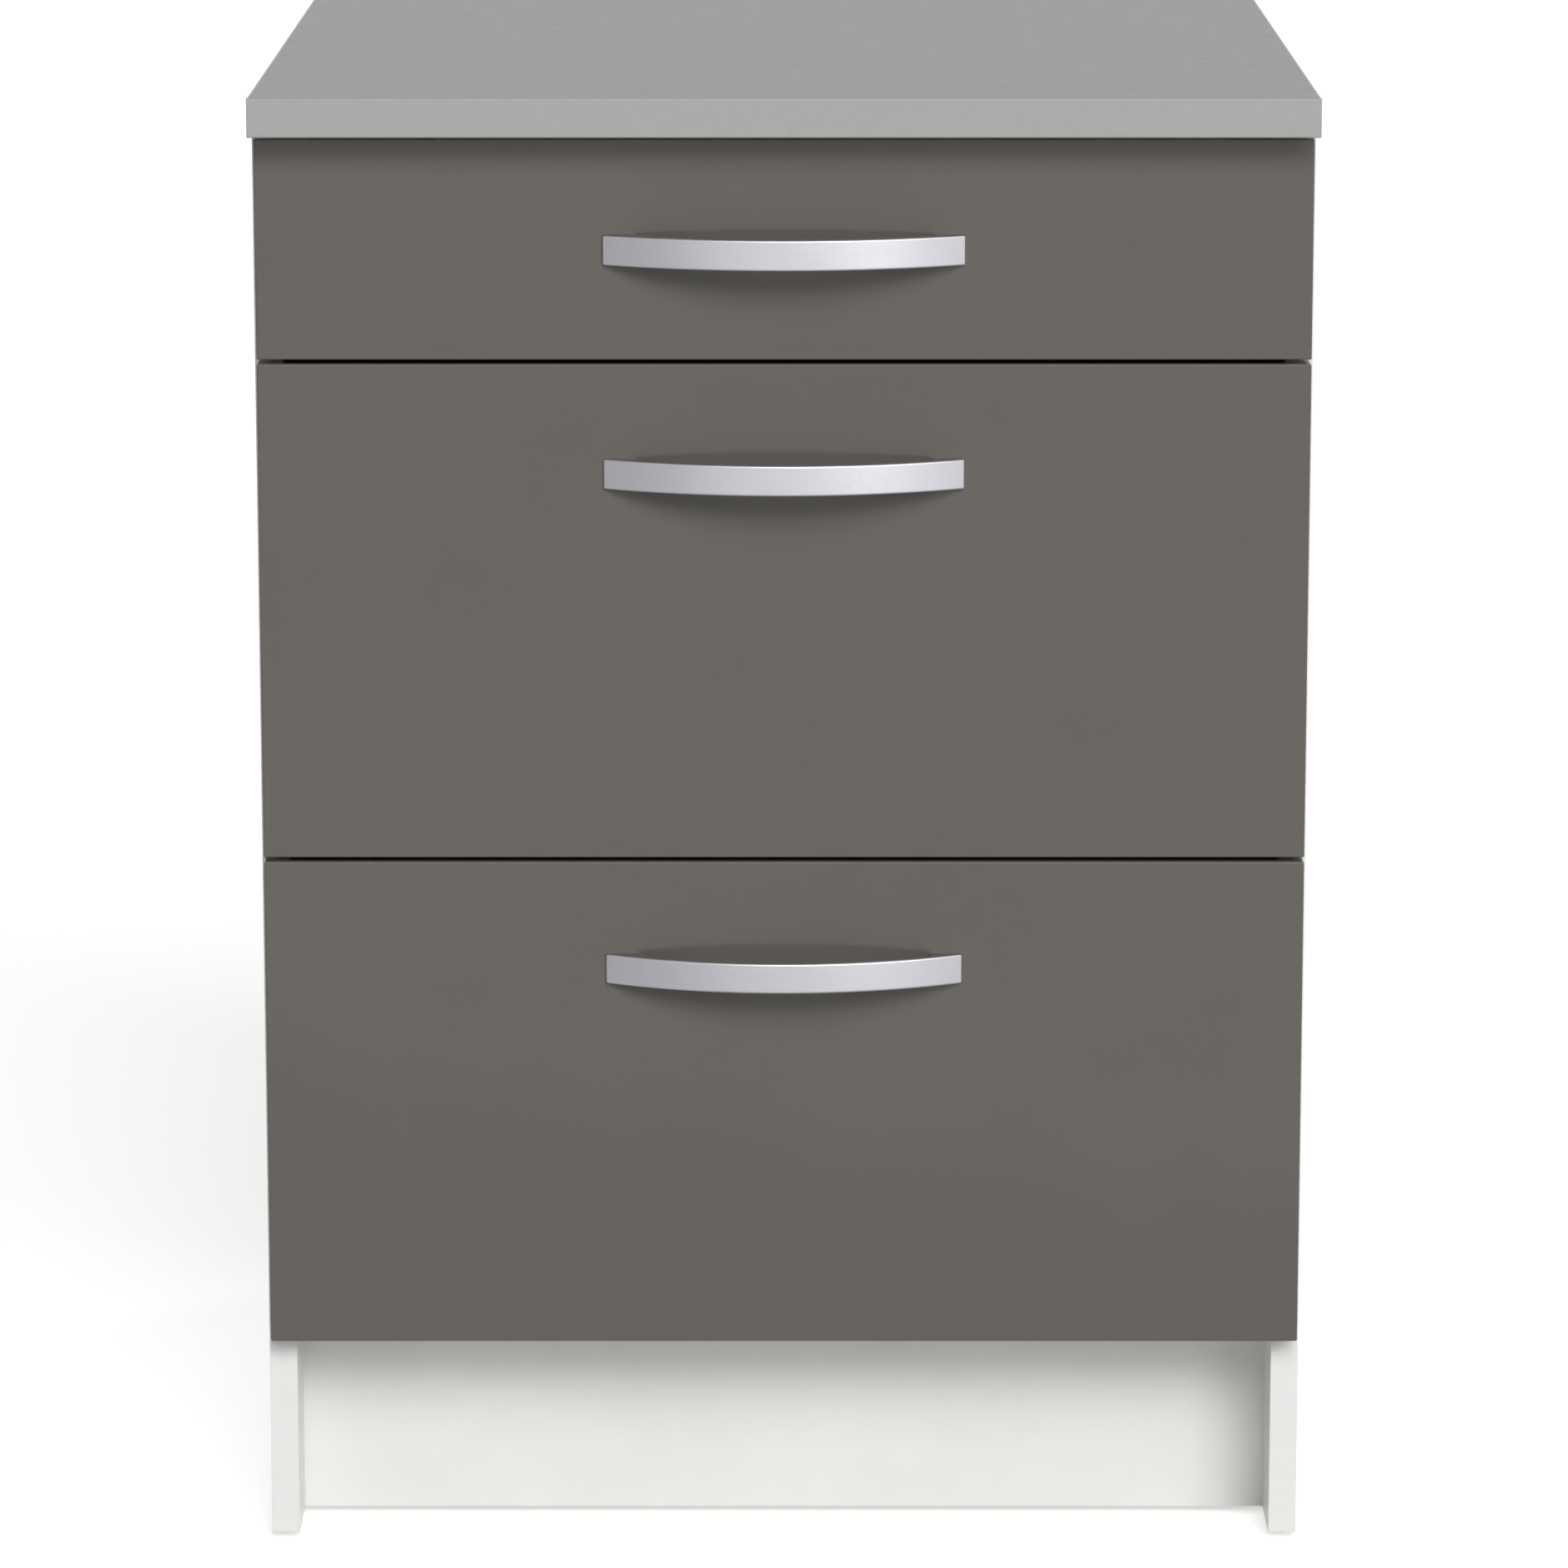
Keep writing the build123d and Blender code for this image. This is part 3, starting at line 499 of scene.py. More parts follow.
def cover(tree, skin, tone, roughness, height, depth):
    """Gives the surface its colour, its roughness, and a relief of this depth in millimetres."""
    bump = {"Height": height, "Strength": 1.0, "Distance": depth * MM}
    plug(tree, skin.inputs["Base Color"], tone)
    plug(tree, skin.inputs["Roughness"], roughness)
    plug(tree, skin.inputs["Normal"], add(tree, "Bump", bump, "Normal"))


def cloud(tree, place, size, low, high, detail=2.0, stretch=(1, 1, 1)):
    """Soft patches of this size in millimetres, as a value between low and high."""
    laid = add(tree, "Mapping", {"Vector": place, "Scale": stretch}, "Vector")
    noise = {"Vector": laid, "Scale": per_metre(size), "Detail": detail}
    spread = {
        "Value": add(tree, "TexNoise", noise, "Fac"),
        "From Min": NOISE_LOW, "From Max": NOISE_HIGH, "To Min": low, "To Max": high,
    }
    return add(tree, "MapRange", spread, "Result")


def two_tone(tree, place, size, first, second, **shape):
    """A colour that wanders between two, in soft patches of this size in millimetres."""
    patches = cloud(tree, place, size, 0, 1, **shape)
    tones = {"Factor_Float": patches, "A_Color": first, "B_Color": second}
    return add(tree, "Mix", tones, "Result_Color", data_type="RGBA")


def two_sided(tree, side, back, front):
    """The colour and roughness of the back where side is 0, and of the front where it is 1."""
    tones = {"Factor_Float": side, "A_Color": back[0], "B_Color": front[0]}
    rough = {"Value": side, "To Min": back[1], "To Max": front[1]}
    return (
        add(tree, "Mix", tones, "Result_Color", data_type="RGBA"),
        add(tree, "MapRange", rough, "Result"),
    )


def gloss_front(colours):
    """Acrylic-faced MDF, pressed and buffed: a deep even gloss with the faintest orange peel.

    Its IOR is lower than that of acrylic, because the photograph shows only a faint shine.
    """
    material, tree, skin, place = start_finish("high_gloss_acrylic_faced_mdf", IOR=1.28)
    dark, light = shade(colours.front, 0.985), shade(colours.front, 1.015)
    tone = two_tone(tree, place, 90, dark, light)
    gloss = cloud(tree, place, 35, 0.09, 0.13)
    peel = cloud(tree, place, 6, 0, 1, detail=1.0)
    cover(tree, skin, tone, gloss, peel, 0.002)
    return material


def melamine_board(name, colours, axis):
    """Melamine-faced chipboard: printed white paper with a fine pearl, and raw flakes at the edges.

    The axis is the one that the board's broad faces look along. The raw edge shows pale and dark
    flakes a few millimetres long, pressed with a little glue.
    """
    material, tree, skin, place = start_finish(name, IOR=1.5)
    white, wood = colours.melamine, colours.chipboard
    paper = two_tone(tree, place, 60, shade(white, 0.975), shade(white, 1.01))
    flakes = two_tone(
        tree, place, 3.0, shade(wood, 0.62), shade(wood, 1.22), detail=4.0, stretch=(0.5, 0.5, 1)
    )
    raw = two_tone(tree, place, 1.4, flakes, shade(wood, 0.9), detail=3.0)
    normal = add(tree, "TexCoord", output="Normal")
    along = add(tree, "SeparateXYZ", {"Vector": normal}, "XYZ"[axis])
    size = add(tree, "Math", {"Value": along}, "Value", operation="ABSOLUTE")
    span = {"Value": size, "From Min": RAW_EDGE, "From Max": BOARD_FACE}
    faced = add(tree, "MapRange", span, "Result")
    tone, rough = two_sided(tree, faced, (raw, 0.85), (paper, 0.38))
    pearl = cloud(tree, place, 1.6, 0, 1, detail=1.0)
    cover(tree, skin, tone, rough, pearl, 0.006)
    return material


def hardboard(colours, axis, white_side):
    """Lacquered hardboard: smooth white on the side that shows, brown with a wire mesh behind.

    The axis looks through the sheet and white_side says which way the white looks along it.
    The mesh is drawn at 3 mm, twice its real spacing, so that it shows.
    """
    material, tree, skin, place = start_finish("white_lacquered_hardboard_" + "xyz"[axis], IOR=1.5)
    white, fibre = colours.melamine, colours.hardboard
    paper = two_tone(tree, place, 70, shade(white, 0.96), shade(white, 0.99))
    brown = two_tone(tree, place, 2.2, shade(fibre, 0.75), shade(fibre, 1.2), detail=5.0)
    normal = add(tree, "TexCoord", output="Normal")
    along = add(tree, "SeparateXYZ", {"Vector": normal}, "XYZ"[axis])
    turn = SHEET_TURN * white_side
    side = add(tree, "MapRange", {"Value": along, "From Min": -turn, "From Max": turn}, "Result")
    tone, rough = two_sided(tree, side, (brown, 0.8), (paper, 0.4))
    wire = {"Vector": place, "Scale": per_metre(3.0) * WAVE, "Distortion": 0.4}
    across, down = (
        add(tree, "TexWave", wire, "Fac", bands_direction=direction)
        for direction in ("X", "Z" if axis == Y else "Y")
    )
    mesh = add(tree, "Math", {"Value": across, "Value_001": down}, "Value", operation="MULTIPLY")
    bare = add(tree, "MapRange", {"Value": side, "To Min": 1.0, "To Max": 0.0}, "Result")
    pressed = add(tree, "Math", {"Value": mesh, "Value_001": bare}, "Value", operation="MULTIPLY")
    cover(tree, skin, tone, rough, pressed, 0.15)
    return material


def edge_band(name, tone, spread):
    """ABS edge band: extruded, so a little waxy, with a shallow pearl pressed into it.

    The spread says how far its streaks stray from the tone.
    """
    material, tree, skin, place = start_finish(name, IOR=1.52)
    dark, light = shade(tone, 1 - spread), shade(tone, 1 + spread)
    streaks = two_tone(tree, place, 8, dark, light, detail=3.0)
    pearl = cloud(tree, place, 1.5, 0, 1, detail=1.0)
    cover(tree, skin, streaks, 0.36, pearl, 0.004)
    return material


def worktop_laminate(colours):
    """High-pressure laminate in a fine stone print: two sizes of soft grey mottle, matt."""
    material, tree, skin, place = start_finish("stone_grey_high_pressure_laminate", IOR=1.5)
    grey = colours.laminate
    broad = two_tone(tree, place, 28, shade(grey, 0.965), shade(grey, 1.025), detail=4.0)
    stone = two_tone(tree, place, 4, shade(grey, 0.985), broad, detail=3.0)
    matt = cloud(tree, place, 12, 0.56, 0.64)
    pearl = cloud(tree, place, 1.5, 0, 1)
    cover(tree, skin, stone, matt, pearl, 0.003)
    return material


def satin_aluminium(colours):
    """Extruded aluminium, brushed along its length and anodised: a soft grain that runs with X.

    The brush lines are drawn 0.7 mm apart, coarser than the real ones, so that they show.
    """
    material, tree, skin, place = start_finish("satin_anodised_aluminium", Metallic=1.0)
    alloy = colours.aluminium
    brushed = {"size": 0.7, "detail": 3.0, "stretch": (0.02, 1, 1)}
    tone = two_tone(tree, place, first=shade(alloy, 0.96), second=shade(alloy, 1.03), **brushed)
    satin = cloud(tree, place, 5, 0.36, 0.44, stretch=(0.05, 1, 1))
    cover(tree, skin, tone, satin, cloud(tree, place, low=0, high=1, **brushed), 0.004)
    return material


def coated_steel(colours):
    """Folded steel under white epoxy powder, baked: even, half gloss, with a slight orange peel."""
    material, tree, skin, place = start_finish("white_epoxy_powder_coated_steel", IOR=1.5)
    film = two_tone(tree, place, 25, shade(colours.epoxy, 0.97), shade(colours.epoxy, 1.01))
    gloss = cloud(tree, place, 6, 0.28, 0.36)
    peel = cloud(tree, place, 2.5, 0, 1, detail=1.0)
    cover(tree, skin, film, gloss, peel, 0.006)
    return material


def metal(name, dark, light, patch, roughness, depth):
    """A bare or plated metal whose tone and roughness wander in patches of this size."""
    material, tree, skin, place = start_finish(name, Metallic=1.0)
    tone = two_tone(tree, place, patch, linear(dark), linear(light), detail=3.0)
    worn = cloud(tree, place, patch / 2, *roughness)
    pits = cloud(tree, place, patch / 4, 0, 1)
    cover(tree, skin, tone, worn, pits, depth)
    return material


def zinc_plate(name):
    """Bright zinc plate on steel screws and bolts: bluish, thin, with a faintly cloudy passivation."""
    return metal(name, "#B4B8BC", "#D2D4D2", 2.0, (0.25, 0.4), 0.004)


def cast_zinc():
    """Die-cast zinc, tumbled smooth: dull grey with the fine pitting of the die."""
    return metal("tumbled_die_cast_zinc", "#8F9294", "#ABADAE", 3.0, (0.42, 0.58), 0.02)


def plastic(name, tone, roughness, depth, **sockets):
    """A moulded plastic with a faint cloudiness from the melt and a fine moulded grain."""
    material, tree, skin, place = start_finish(name, **sockets)
    dark, light = shade(linear(tone), 0.96), shade(linear(tone), 1.02)
    melt = two_tone(tree, place, 12, dark, light)
    gloss = cloud(tree, place, 3, *roughness)
    grain = cloud(tree, place, 0.9, 0, 1, detail=1.0)
    cover(tree, skin, melt, gloss, grain, depth)
    return material


def nylon():
    """Natural nylon, turned: warm white, slippery and a little cloudy."""
    return plastic("natural_nylon", "#E4E1D6", (0.35, 0.45), 0.004, IOR=1.53)


def polyethylene():
    """Moulded polyethylene of the glides: white and waxy."""
    return plastic("moulded_white_polyethylene", "#DEDEDA", (0.45, 0.55), 0.006, IOR=1.51)


def polyurethane():
    """Clear soft polyurethane of the bumpers: cast in drops, water-clear."""
    return plastic(
        "clear_cast_polyurethane", "#F4F5F4", (0.08, 0.14), 0.001, IOR=1.5, Transmission_Weight=0.85
    )


def beech():
    """Turned beech of the dowels: pinkish, with short dark flecks along the grain."""
    material, tree, skin, place = start_finish("turned_beech", IOR=1.5)
    grain = {"size": 0.8, "detail": 4.0, "stretch": (0.1, 1, 1)}
    tone = two_tone(tree, place, first=linear("#B98B63"), second=linear("#D9B48C"), **grain)
    cover(tree, skin, tone, 0.6, cloud(tree, place, low=0, high=1, **grain), 0.02)
    return material


def once(name, make, *values):
    """The material of this name, made the first time that it is asked for."""
    return bpy.data.materials.get(name) or make(name, *values)


def board_finish(axis):
    """The melamine-faced board whose broad faces look along this axis."""
    name = "white_melamine_faced_chipboard_" + "xyz"[axis]
    return once(name, melamine_board, bpy.context.scene.cabinet_colours, axis)


def screw_finish():
    """The zinc plate that every steel screw and bolt has."""
    return once("bright_zinc_plated_steel", zinc_plate)


# Pieces


class CABINET_OT_worktop(bpy.types.Operator):
    """Lays the worktop: a core under its laminate, with banded front and ends"""

    bl_idname = "cabinet.worktop"
    bl_label = "Worktop"

    def execute(self, context):
        sizes = context.scene.cabinet_sizes
        colours = context.scene.cabinet_colours
        low, high = corners("worktop")
        band = sizes.worktop_band
        laminate = worktop_laminate(colours)
        banding = edge_band("stone_grey_abs_edge_band", colours.laminate_band, STONE_STREAKS)
        skin_low = high.z - sizes.laminate

        core = block(
            "worktop_core", (low.x + band, low.y + band, low.z), (high.x - band, high.y, skin_low)
        )
        round_edges(core, CORE_EDGE, BROKEN, lies(Z, low.z))
        cut(core, [bar.hole(sizes.groove_fit) for bar in bars("worktop_screws")])
        dress(core, "carcass", [board_finish(Z)], ["worktop"])

        sheet = block(
            "worktop_laminate", (low.x + band, low.y + band, skin_low), (high.x - band, high.y, high.z)
        )
        round_edges(
            sheet, LAMINATE_REAR_EDGE, SCRAPED,
            lambda edge: at(middle(edge).y, high.y) and at(middle(edge).z, high.z),
        )
        dress(sheet, "carcass", [laminate])

        front = block("worktop_front_band", low, (high.x, low.y + band, high.z))
        round_edges(front, sizes.worktop_arris, SOFTENED, lies(Y, low.y))
        dress(front, "carcass", [banding])

        for side, outer, inner in (("left", low.x, low.x + band), ("right", high.x, high.x - band)):
            start = (min(outer, inner), low.y + band, low.z)
            end = (max(outer, inner), high.y, high.z)
            strip = block(f"worktop_{side}_band", start, end)
            round_edges(
                strip, sizes.worktop_arris, SOFTENED,
                lambda edge: at(middle(edge).x, outer) and not at(middle(edge).y, low.y + band),
            )
            dress(strip, "carcass", [banding])
        return {"FINISHED"}


class CABINET_OT_fronts(bpy.types.Operator):
    """Makes the three gloss fronts with rounded edges, grooved and drilled behind"""

    bl_idname = "cabinet.fronts"
    bl_label = "Drawer fronts"

    def execute(self, context):
        sizes = context.scene.cabinet_sizes
        gloss = gloss_front(context.scene.cabinet_colours)
        for level in LEVELS:
            node = f"{level}_drawer_front"
            low, high = corners(node)
            half = (low.y + high.y) / 2
            front = block(f"{level}_gloss_front", low, high)
            round_edges(
                front, sizes.front_arris, ROUNDED,
                lambda edge: at(middle(edge).y, low.y) or at(middle(edge).y, half),
            )
            cut(front, self.tools(level, high.y, sizes))
            dress(front, f"{level}_drawer", [gloss, board_finish(Y)], [node])
            for face in front.data.polygons:
                if face.normal.y > ALONG:
                    face.material_index = 1
        return {"FINISHED"}

    def tools(self, level, rear, sizes):
        """The groove of the drawer bottom and the holes of the handle's screws and the bolts."""
        low, high = corners(f"{level}_drawer_bottom")
        fit = Vector((1, 1, 1)) * sizes.groove_fit
        groove = block("groove", low - fit, high + fit)
        holes = [bar.hole(sizes.hole_fit) for bar in bars(f"{level}_handle_screws")]
        for places in solids(f"{level}_drawer_cam_fittings"):
            if limits(places)[0].y < rear - PAST:
                holes.append(Bar(places).hole(sizes.groove_fit))
        return [groove] + holes


class CABINET_OT_handles(bpy.types.Operator):
    """Makes the bow handles: one is shaped and copied to the other drawers"""

    bl_idname = "cabinet.handles"
    bl_label = "Handles"

    def execute(self, context):
        sizes = context.scene.cabinet_sizes
        first, *others = LEVELS
        handle = self.shape(first, sizes)
        low, _ = corners(f"{first}_handle")
        alloy = satin_aluminium(context.scene.cabinet_colours)
        pieces = {first: handle}
        for level in others:
            drop = corners(f"{level}_handle")[0] - low
            pieces[level] = copied(handle, f"{level}_bow_handle", Matrix.Translation(drop))
        for level, piece in pieces.items():
            node = f"{level}_handle"
            dress(piece, f"{level}_drawer", [alloy], [node])
        return {"FINISHED"}

    def shape(self, level, sizes):
        """The plan of a bowed band on two feet, drawn up to its height, with its edges rounded."""
        low, high = corners(f"{level}_handle")
        half = high.x
        rise = high.y - low.y - HANDLE_TIP
        radius = (rise**2 + half**2) / (2 * rise)
        centre = Vector((0, low.y + radius, low.z))
        screws = bars(f"{level}_handle_screws")
        grip = max(bar.head.x for bar in screws) - HANDLE_FOOT

        bow = self.strip(f"{level}_bow_handle", centre, radius, half + HANDLE_FOOT)
        self.add_feet(bow, centre, radius - HANDLE_BAND, grip, high.y)
        choose(bow, "FACE", lambda face: True)
        self.trim((0, high.y, 0), (0, 1, 0), clear=True)
        self.trim((half, 0, 0), (1, 0, 0), clear=True)
        self.trim((-half, 0, 0), (-1, 0, 0), clear=True)
        bpy.ops.mesh.select_all(action="SELECT")
        bpy.ops.mesh.dissolve_limited(angle_limit=FLAT)
        upwards = {"value": (0, 0, high.z - low.z)}
        bpy.ops.mesh.extrude_region_move(TRANSFORM_OT_translate=upwards)
        bpy.ops.mesh.select_all(action="SELECT")
        bpy.ops.mesh.normals_make_consistent(inside=False)
        leave()

        round_edges(
            bow, HANDLE_TIP_ROUNDING, ROUNDED, lambda edge: self.is_tip(edge, half, high.y)
        )
        round_edges(
            bow, sizes.handle_arris, ROUNDED,
            lambda edge: self.turn(edge, centre) > HANDLE_OUTSIDE,
        )
        round_edges(
            bow, sizes.handle_inner_arris, SOFTENED,
            lambda edge: self.turn(edge, centre) < HANDLE_INSIDE,
        )
        cut(bow, [bar.hole(sizes.groove_fit) for bar in screws])
        return bow

    def strip(self, name, centre, radius, half):
        """A flat strip between the outer and the inner arc of the bow."""
        bpy.ops.object.select_all(action="DESELECT")
        bpy.ops.mesh.primitive_circle_add(
            vertices=HANDLE_ARC_SIDES, radius=radius, location=centre, fill_type="NOTHING"
        )
        strip = settle(name)
        choose(
            strip, "EDGE",
            lambda edge: abs(middle(edge).x) > half or middle(edge).y > centre.y,
        )
        bpy.ops.mesh.delete(type="VERT")
        bpy.ops.mesh.select_all(action="SELECT")
        bpy.ops.mesh.extrude_edges_move()
        inner = (radius - HANDLE_BAND) / radius
        bpy.ops.transform.resize(value=(inner, inner, 1), center_override=centre)
        leave()
        return strip

    def add_feet(self, strip, centre, inner, grip, rear):
        """Draws the ends of the inner arc straight back past the face of the front."""
        choose(strip, "FACE", lambda face: True)
        self.trim((grip, 0, 0), (1, 0, 0))
        self.trim((-grip, 0, 0), (-1, 0, 0))
        leave()
        choose(
            strip, "EDGE",
            lambda edge: abs((middle(edge) - centre).length - inner) < SAME
            and abs(middle(edge).x) > grip,
        )
        bpy.ops.mesh.extrude_edges_move()
        behind = (0, rear + HANDLE_FOOT, 0)
        bpy.ops.transform.resize(value=(1, 0, 1), center_override=behind)
        leave()

    def trim(self, place, outward, clear=False):
        """Cuts the strip along a line, and with clear takes away what lies outward of it."""
        bpy.ops.mesh.select_all(action="SELECT")
        bpy.ops.mesh.bisect(plane_co=place, plane_no=outward, clear_outer=clear)

    def is_tip(self, edge, half, rear):
        """Whether this is an upright corner edge at an outer end of the bow."""
        spot = middle(edge)
        upright = not at(edge.verts[0].co.z, edge.verts[1].co.z)
        corner = edge.calc_face_angle(0) > CORNER
        return upright and corner and at(abs(spot.x), half) and spot.y < rear - SAME

    def turn(self, edge, centre):
        """How far the upright face beside a level edge looks away from the centre of the arc."""
        level, upright = sorted(edge.link_faces, key=lambda face: -abs(face.normal.z))
        if abs(level.normal.z) < ALONG or abs(upright.normal.z) > ACROSS:
            return 0
        way = middle(edge) - centre
        way.z = 0
        return upright.normal.dot(way.normalized())


class CABINET_OT_edge_bands(bpy.types.Operator):
    """Puts a thin white band on each board edge that shows"""

    bl_idname = "cabinet.edge_bands"
    bl_label = "Edge bands"

    def execute(self, context):
        sizes = context.scene.cabinet_sizes
        white = context.scene.cabinet_colours.band
        band = edge_band("white_abs_edge_band", white, WHITE_STREAKS)
        for node in ("left_side_panel", "right_side_panel", "bottom_panel", "front_top_rail"):
            low, high = corners(node)
            start = (low.x, low.y - sizes.board_band, low.z)
            self.strip(node, start, (high.x, low.y, high.z), Y, band, sizes)
        for level in LEVELS:
            for part in ("side_left", "side_right", "back"):
                node = f"{level}_drawer_{part}"
                low, high = corners(node)
                end = (high.x, high.y, high.z + sizes.board_band)
                self.strip(node, (low.x, low.y, high.z), end, Z, band, sizes)
        return {"FINISHED"}

    def strip(self, node, low, high, axis, band, sizes):
        """One band, with its two long outer edges scraped round."""
        outer = low[axis] if axis == Y else high[axis]
        piece = block(f"{node}_edge_band", low, high)
        round_edges(piece, sizes.board_band * BAND_SCRAPE, SCRAPED, lies(axis, outer))
        dress(piece, body_of(node), [band])


class CABINET_OT_screws(bpy.types.Operator):
    """Makes every screw with its cross recess, in the place of the frame's plain ones"""

    bl_idname = "cabinet.screws"
    bl_label = "Screws"

    def execute(self, context):
        plate = screw_finish()
        kinds = {"worktop_screws": WOOD_RECESS, "runner_screws": RUNNER_RECESS}
        for level in LEVELS:
            kinds[f"{level}_drawer_screws"] = WOOD_RECESS
            kinds[f"{level}_handle_screws"] = MACHINE_RECESS
        for node, recess in kinds.items():
            screws = bars(node)
            master = self.shape(screws[0], recess, recess is MACHINE_RECESS)
            copies = [copied(master, node, bar.seat()) for bar in screws]
            bpy.data.objects.remove(master)
            group = join(node + "_recessed", copies)
            dress(group, body_of(node), [plate], [node])
        return {"FINISHED"}

    def shape(self, bar, recess, pan):
        """One screw that stands on its point, with the top of its head at the origin."""
        slope = 0 if pan else bar.wide - bar.shank
        neck = bar.neck if pan else COUNTERSUNK_RIM
        taper, tip = MACHINE_END if pan else WOOD_END
        point = taper * bar.shank
        screw = drum("screw", bar.wide, (0, 0, -neck), (0, 0, 0))
        if pan:
            round_edges(screw, PAN_ROUNDING, SOFTENED, lies(Z, 0))
        self.draw_down(screw, slope, bar.shank / bar.wide)
        self.draw_down(screw, bar.reach - neck - slope - point, 1)
        self.draw_down(screw, point, tip)
        width, blade, deep = recess
        cross = [
            block("blade", (-width / 2, -blade / 2, -deep), (width / 2, blade / 2, PAST)),
            block("blade", (-blade / 2, -width / 2, -deep), (blade / 2, width / 2, PAST)),
        ]
        cut(screw, cross)
        return screw

    def draw_down(self, screw, depth, share):
        """Draws the lowest face down by this depth and narrows it to this share."""
        lowest = min(corner.co.z for corner in screw.data.vertices)
        choose(
            screw, "FACE",
            lambda face: face.normal.z < -ALONG and at(middle(face).z, lowest),
        )
        bpy.ops.mesh.extrude_region_move(TRANSFORM_OT_translate={"value": (0, 0, -depth)})
        bpy.ops.transform.resize(value=(share, share, 1))
        leave()


class CABINET_OT_bumpers(bpy.types.Operator):
    """Makes the soft clear bumpers behind the fronts, each a low drop with a rounded rim"""

    bl_idname = "cabinet.bumpers"
    bl_label = "Bumpers"

    def execute(self, context):
        sizes = context.scene.cabinet_sizes
        drops = []
        for places in solids("front_bumpers"):
            low, high = limits(places)
            spot = (low + high) / 2
            rear = Vector((spot.x, high.y, spot.z))
            front = Vector((spot.x, low.y, spot.z))
            drop = drum("drop", (high.x - low.x) / 2, rear, front)
            round_edges(drop, sizes.bumper_rounding, ROUNDED, lies(Y, low.y))
            drops.append(drop)
        piece = join("front_bumper_drops", drops)
        dress(piece, "carcass", [polyurethane()], ["front_bumpers"])
        return {"FINISHED"}


class CABINET_OT_frame_finishes(bpy.types.Operator):
    """Gives every piece that keeps the frame's shape its real finish"""

    bl_idname = "cabinet.frame_finishes"
    bl_label = "Boards, runners and fittings"

    def execute(self, context):
        colours = context.scene.cabinet_colours
        plain = {
            "white_epoxy_steel": coated_steel(colours),
            "die_cast_zinc": cast_zinc(),
            "nylon": nylon(),
            "white_plastic": polyethylene(),
            "beech": beech(),
            "zinc_plated_steel": screw_finish(),
        }
        sheets = {Y: hardboard(colours, Y, -1), Z: hardboard(colours, Z, 1)}
        for node, piece in frame["nodes"].items():
            if piece.hide_render:
                continue
            slot = slot_of(node)
            low, high = corners(node)
            thin = min((X, Y, Z), key=lambda axis: (high - low)[axis])
            if slot == "white_melamine":
                material = board_finish(thin)
            elif slot == "white_hardboard":
                material = sheets[thin]
            else:
                material = plain[slot]
            piece.data.materials.clear()
            piece.data.materials.append(material)
        return {"FINISHED"}


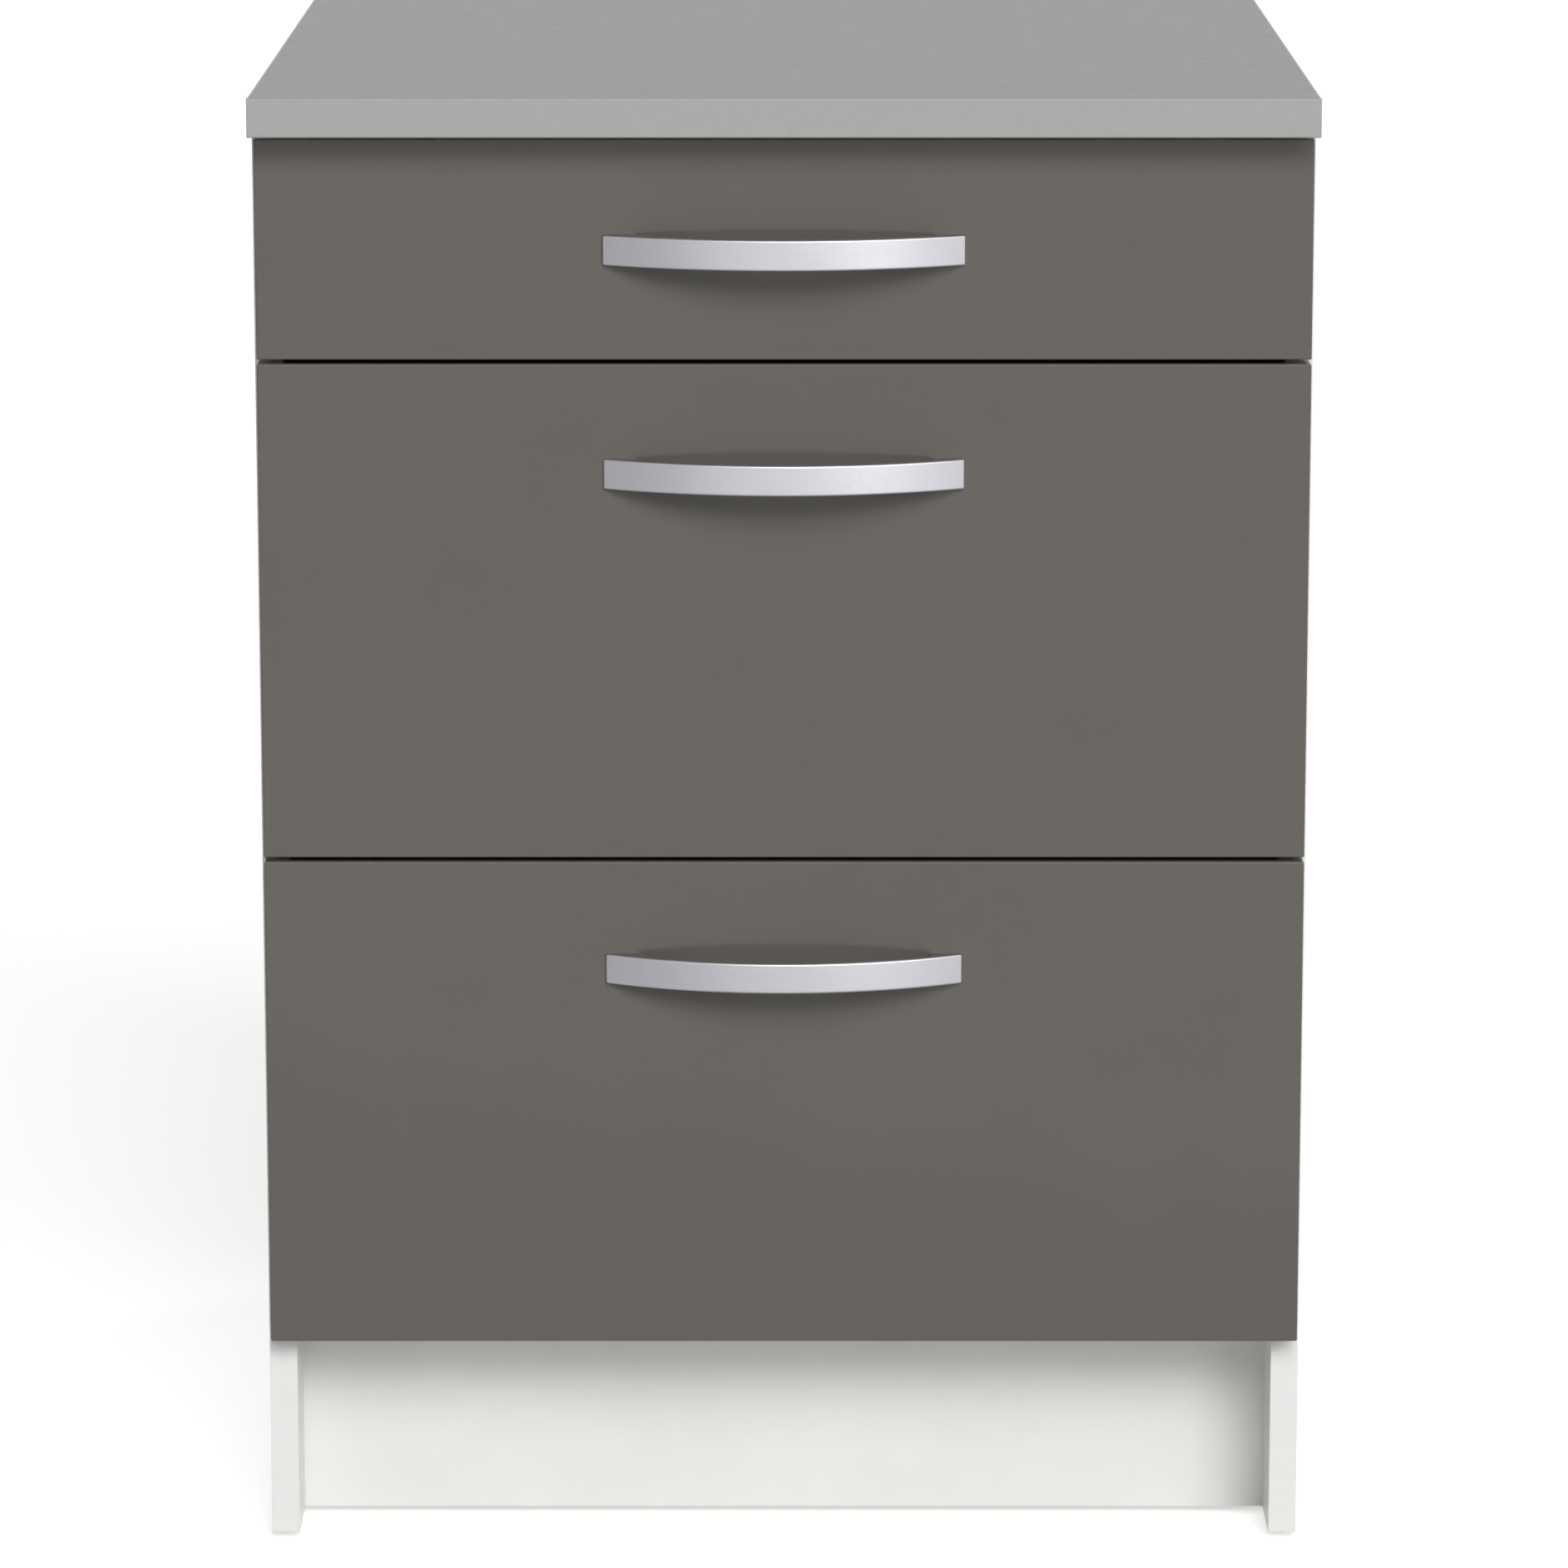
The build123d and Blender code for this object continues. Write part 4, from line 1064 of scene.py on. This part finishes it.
class CABINET_OT_stage(bpy.types.Operator):
    """Sets the pale floor, the soft studio light and the camera"""

    bl_idname = "cabinet.stage"
    bl_label = "Studio"

    def execute(self, context):
        studio = context.scene.cabinet_studio
        self.floor(studio)
        self.surround(context.scene, studio)
        for name, side in (("key", 1), ("fill", 1), ("rear", 1), ("rear", -1)):
            self.distant(name, side, studio)
        self.reflector("panel", PANEL_PLACE, studio.panel_turn, PANEL_SIZE, studio.panel_power)
        self.reflector("strip", STRIP_PLACE, studio.strip_turn, STRIP_SIZE, studio.strip_power)
        self.camera(context.scene)
        context.scene.view_settings.view_transform = "Standard"
        return {"FINISHED"}

    def floor(self, studio):
        """A wide plain floor that keeps the cabinet's shadow and otherwise looks white."""
        bpy.ops.object.select_all(action="DESELECT")
        bpy.ops.mesh.primitive_plane_add(size=FLOOR_SIZE)
        floor = settle("studio_floor")
        material, tree, skin, place = start_finish(
            "matt_painted_floor", Roughness=0.9, Emission_Color=(1, 1, 1, 1)
        )
        tone = two_tone(tree, place, 400, shade(studio.floor, 0.99), studio.floor)
        plug(tree, skin.inputs["Base Color"], tone)
        shares = {"Value": self.seen(tree), "Value_001": studio.floor_lift}
        lift = add(tree, "Math", shares, "Value", operation="MULTIPLY")
        plug(tree, skin.inputs["Emission Strength"], lift)
        floor.data.materials.append(material)

    def seen(self, tree):
        """1 for what the camera sees directly, in a gloss or through glass."""
        rays = add(tree, "LightPath").outputs
        looks = {"Value": rays["Is Camera Ray"], "Value_001": rays["Is Glossy Ray"]}
        mirrored = add(tree, "Math", looks, "Value", operation="MAXIMUM")
        looks = {"Value": mirrored, "Value_001": rays["Is Transmission Ray"]}
        return add(tree, "Math", looks, "Value", operation="MAXIMUM")

    def surround(self, scene, studio):
        """An even surround that lights softly and is white where it is seen."""
        world = bpy.data.worlds.new("studio_surround")
        world.use_nodes = True
        tree = world.node_tree
        tree.nodes.clear()
        levels = {"Value": self.seen(tree), "To Min": studio.surround, "To Max": 1.0}
        white = {"Color": (1, 1, 1, 1), "Strength": add(tree, "MapRange", levels, "Result")}
        sky = add(tree, "Background", white, "Background")
        add(tree, "OutputWorld", {"Surface": sky})
        scene.world = world

    def way(self, turn, height):
        """The direction from the cabinet to a light, turned to the right and raised."""
        return Vector((sin(turn) * cos(height), -cos(turn) * cos(height), sin(height)))

    def distant(self, name, side, studio):
        """A wide light so far away that it is equally bright all over the floor.

        The side is 1 for a light on the right and -1 for its twin on the left. A rear light would
        glare in the worktop, so it doesn't shine in a gloss.
        """
        turn, height, width, level = (
            getattr(studio, f"{name}_{part}") for part in ("turn", "height", "width", "level")
        )
        lamp = bpy.data.lights.new(f"{name}_light", "SUN")
        lamp.angle = width
        lamp.energy = level
        way = self.way(side * turn, height)
        holder = self.hang(lamp, way, way)
        holder.visible_glossy = name != "rear"

    def hang(self, lamp, place, way):
        """Puts a light at this place, looking back along its way."""
        holder = bpy.data.objects.new(lamp.name, lamp)
        holder.location = place
        holder.rotation_euler = way.to_track_quat("Z", "Y").to_euler()
        bpy.context.collection.objects.link(holder)
        return holder

    def reflector(self, name, distance, turn, size, power):
        """An upright panel on the floor, which only shows as a shine on metal and gloss."""
        lamp = bpy.data.lights.new(name, "AREA")
        lamp.shape = "RECTANGLE"
        lamp.size, lamp.size_y = size
        lamp.energy = power
        way = self.way(turn, 0)
        holder = self.hang(lamp, way * distance + Vector((0, 0, size[1] / 2)), way)
        holder.visible_camera = False
        holder.visible_diffuse = False

    def camera(self, scene):
        """A camera at the photograph's viewing angle."""
        lens = bpy.data.cameras.new("camera")
        lens.lens = CAMERA_LENS
        lens.sensor_width = CAMERA_SENSOR
        camera = bpy.data.objects.new("camera", lens)
        camera.location = CAMERA_PLACE
        camera.rotation_euler = (radians(90 - CAMERA_PITCH), 0, 0)
        bpy.context.collection.objects.link(camera)
        scene.camera = camera


OPERATORS = (
    CABINET_OT_stage,
    CABINET_OT_worktop,
    CABINET_OT_fronts,
    CABINET_OT_handles,
    CABINET_OT_edge_bands,
    CABINET_OT_screws,
    CABINET_OT_bumpers,
    CABINET_OT_frame_finishes,
)


class CABINET_PT_sidebar(bpy.types.Panel):
    """Lists the pieces, their sizes and their colours"""

    bl_idname = "CABINET_PT_sidebar"
    bl_label = "Base cabinet"
    bl_space_type = "VIEW_3D"
    bl_region_type = "UI"
    bl_category = "Cabinet"

    def draw(self, context):
        for operator in OPERATORS:
            self.layout.operator(operator.bl_idname)
        for group in GROUPS:
            box = self.layout.box()
            for name in GROUPS[group].__annotations__:
                box.prop(getattr(context.scene, group), name)


GROUPS = {
    "cabinet_sizes": CabinetSizes,
    "cabinet_colours": CabinetColours,
    "cabinet_studio": StudioSettings,
}
CLASSES = (*GROUPS.values(), *OPERATORS, CABINET_PT_sidebar)


def register():
    for each in CLASSES:
        bpy.utils.register_class(each)
    for name, group in GROUPS.items():
        setattr(bpy.types.Scene, name, bpy.props.PointerProperty(type=group))


def unregister():
    for name in GROUPS:
        delattr(bpy.types.Scene, name)
    for each in reversed(CLASSES):
        bpy.utils.unregister_class(each)


def main():
    register()
    for operator in OPERATORS:
        name = operator.bl_idname.split(".")[1]
        getattr(bpy.ops.cabinet, name)()


if __name__ == "__main__":
    main()
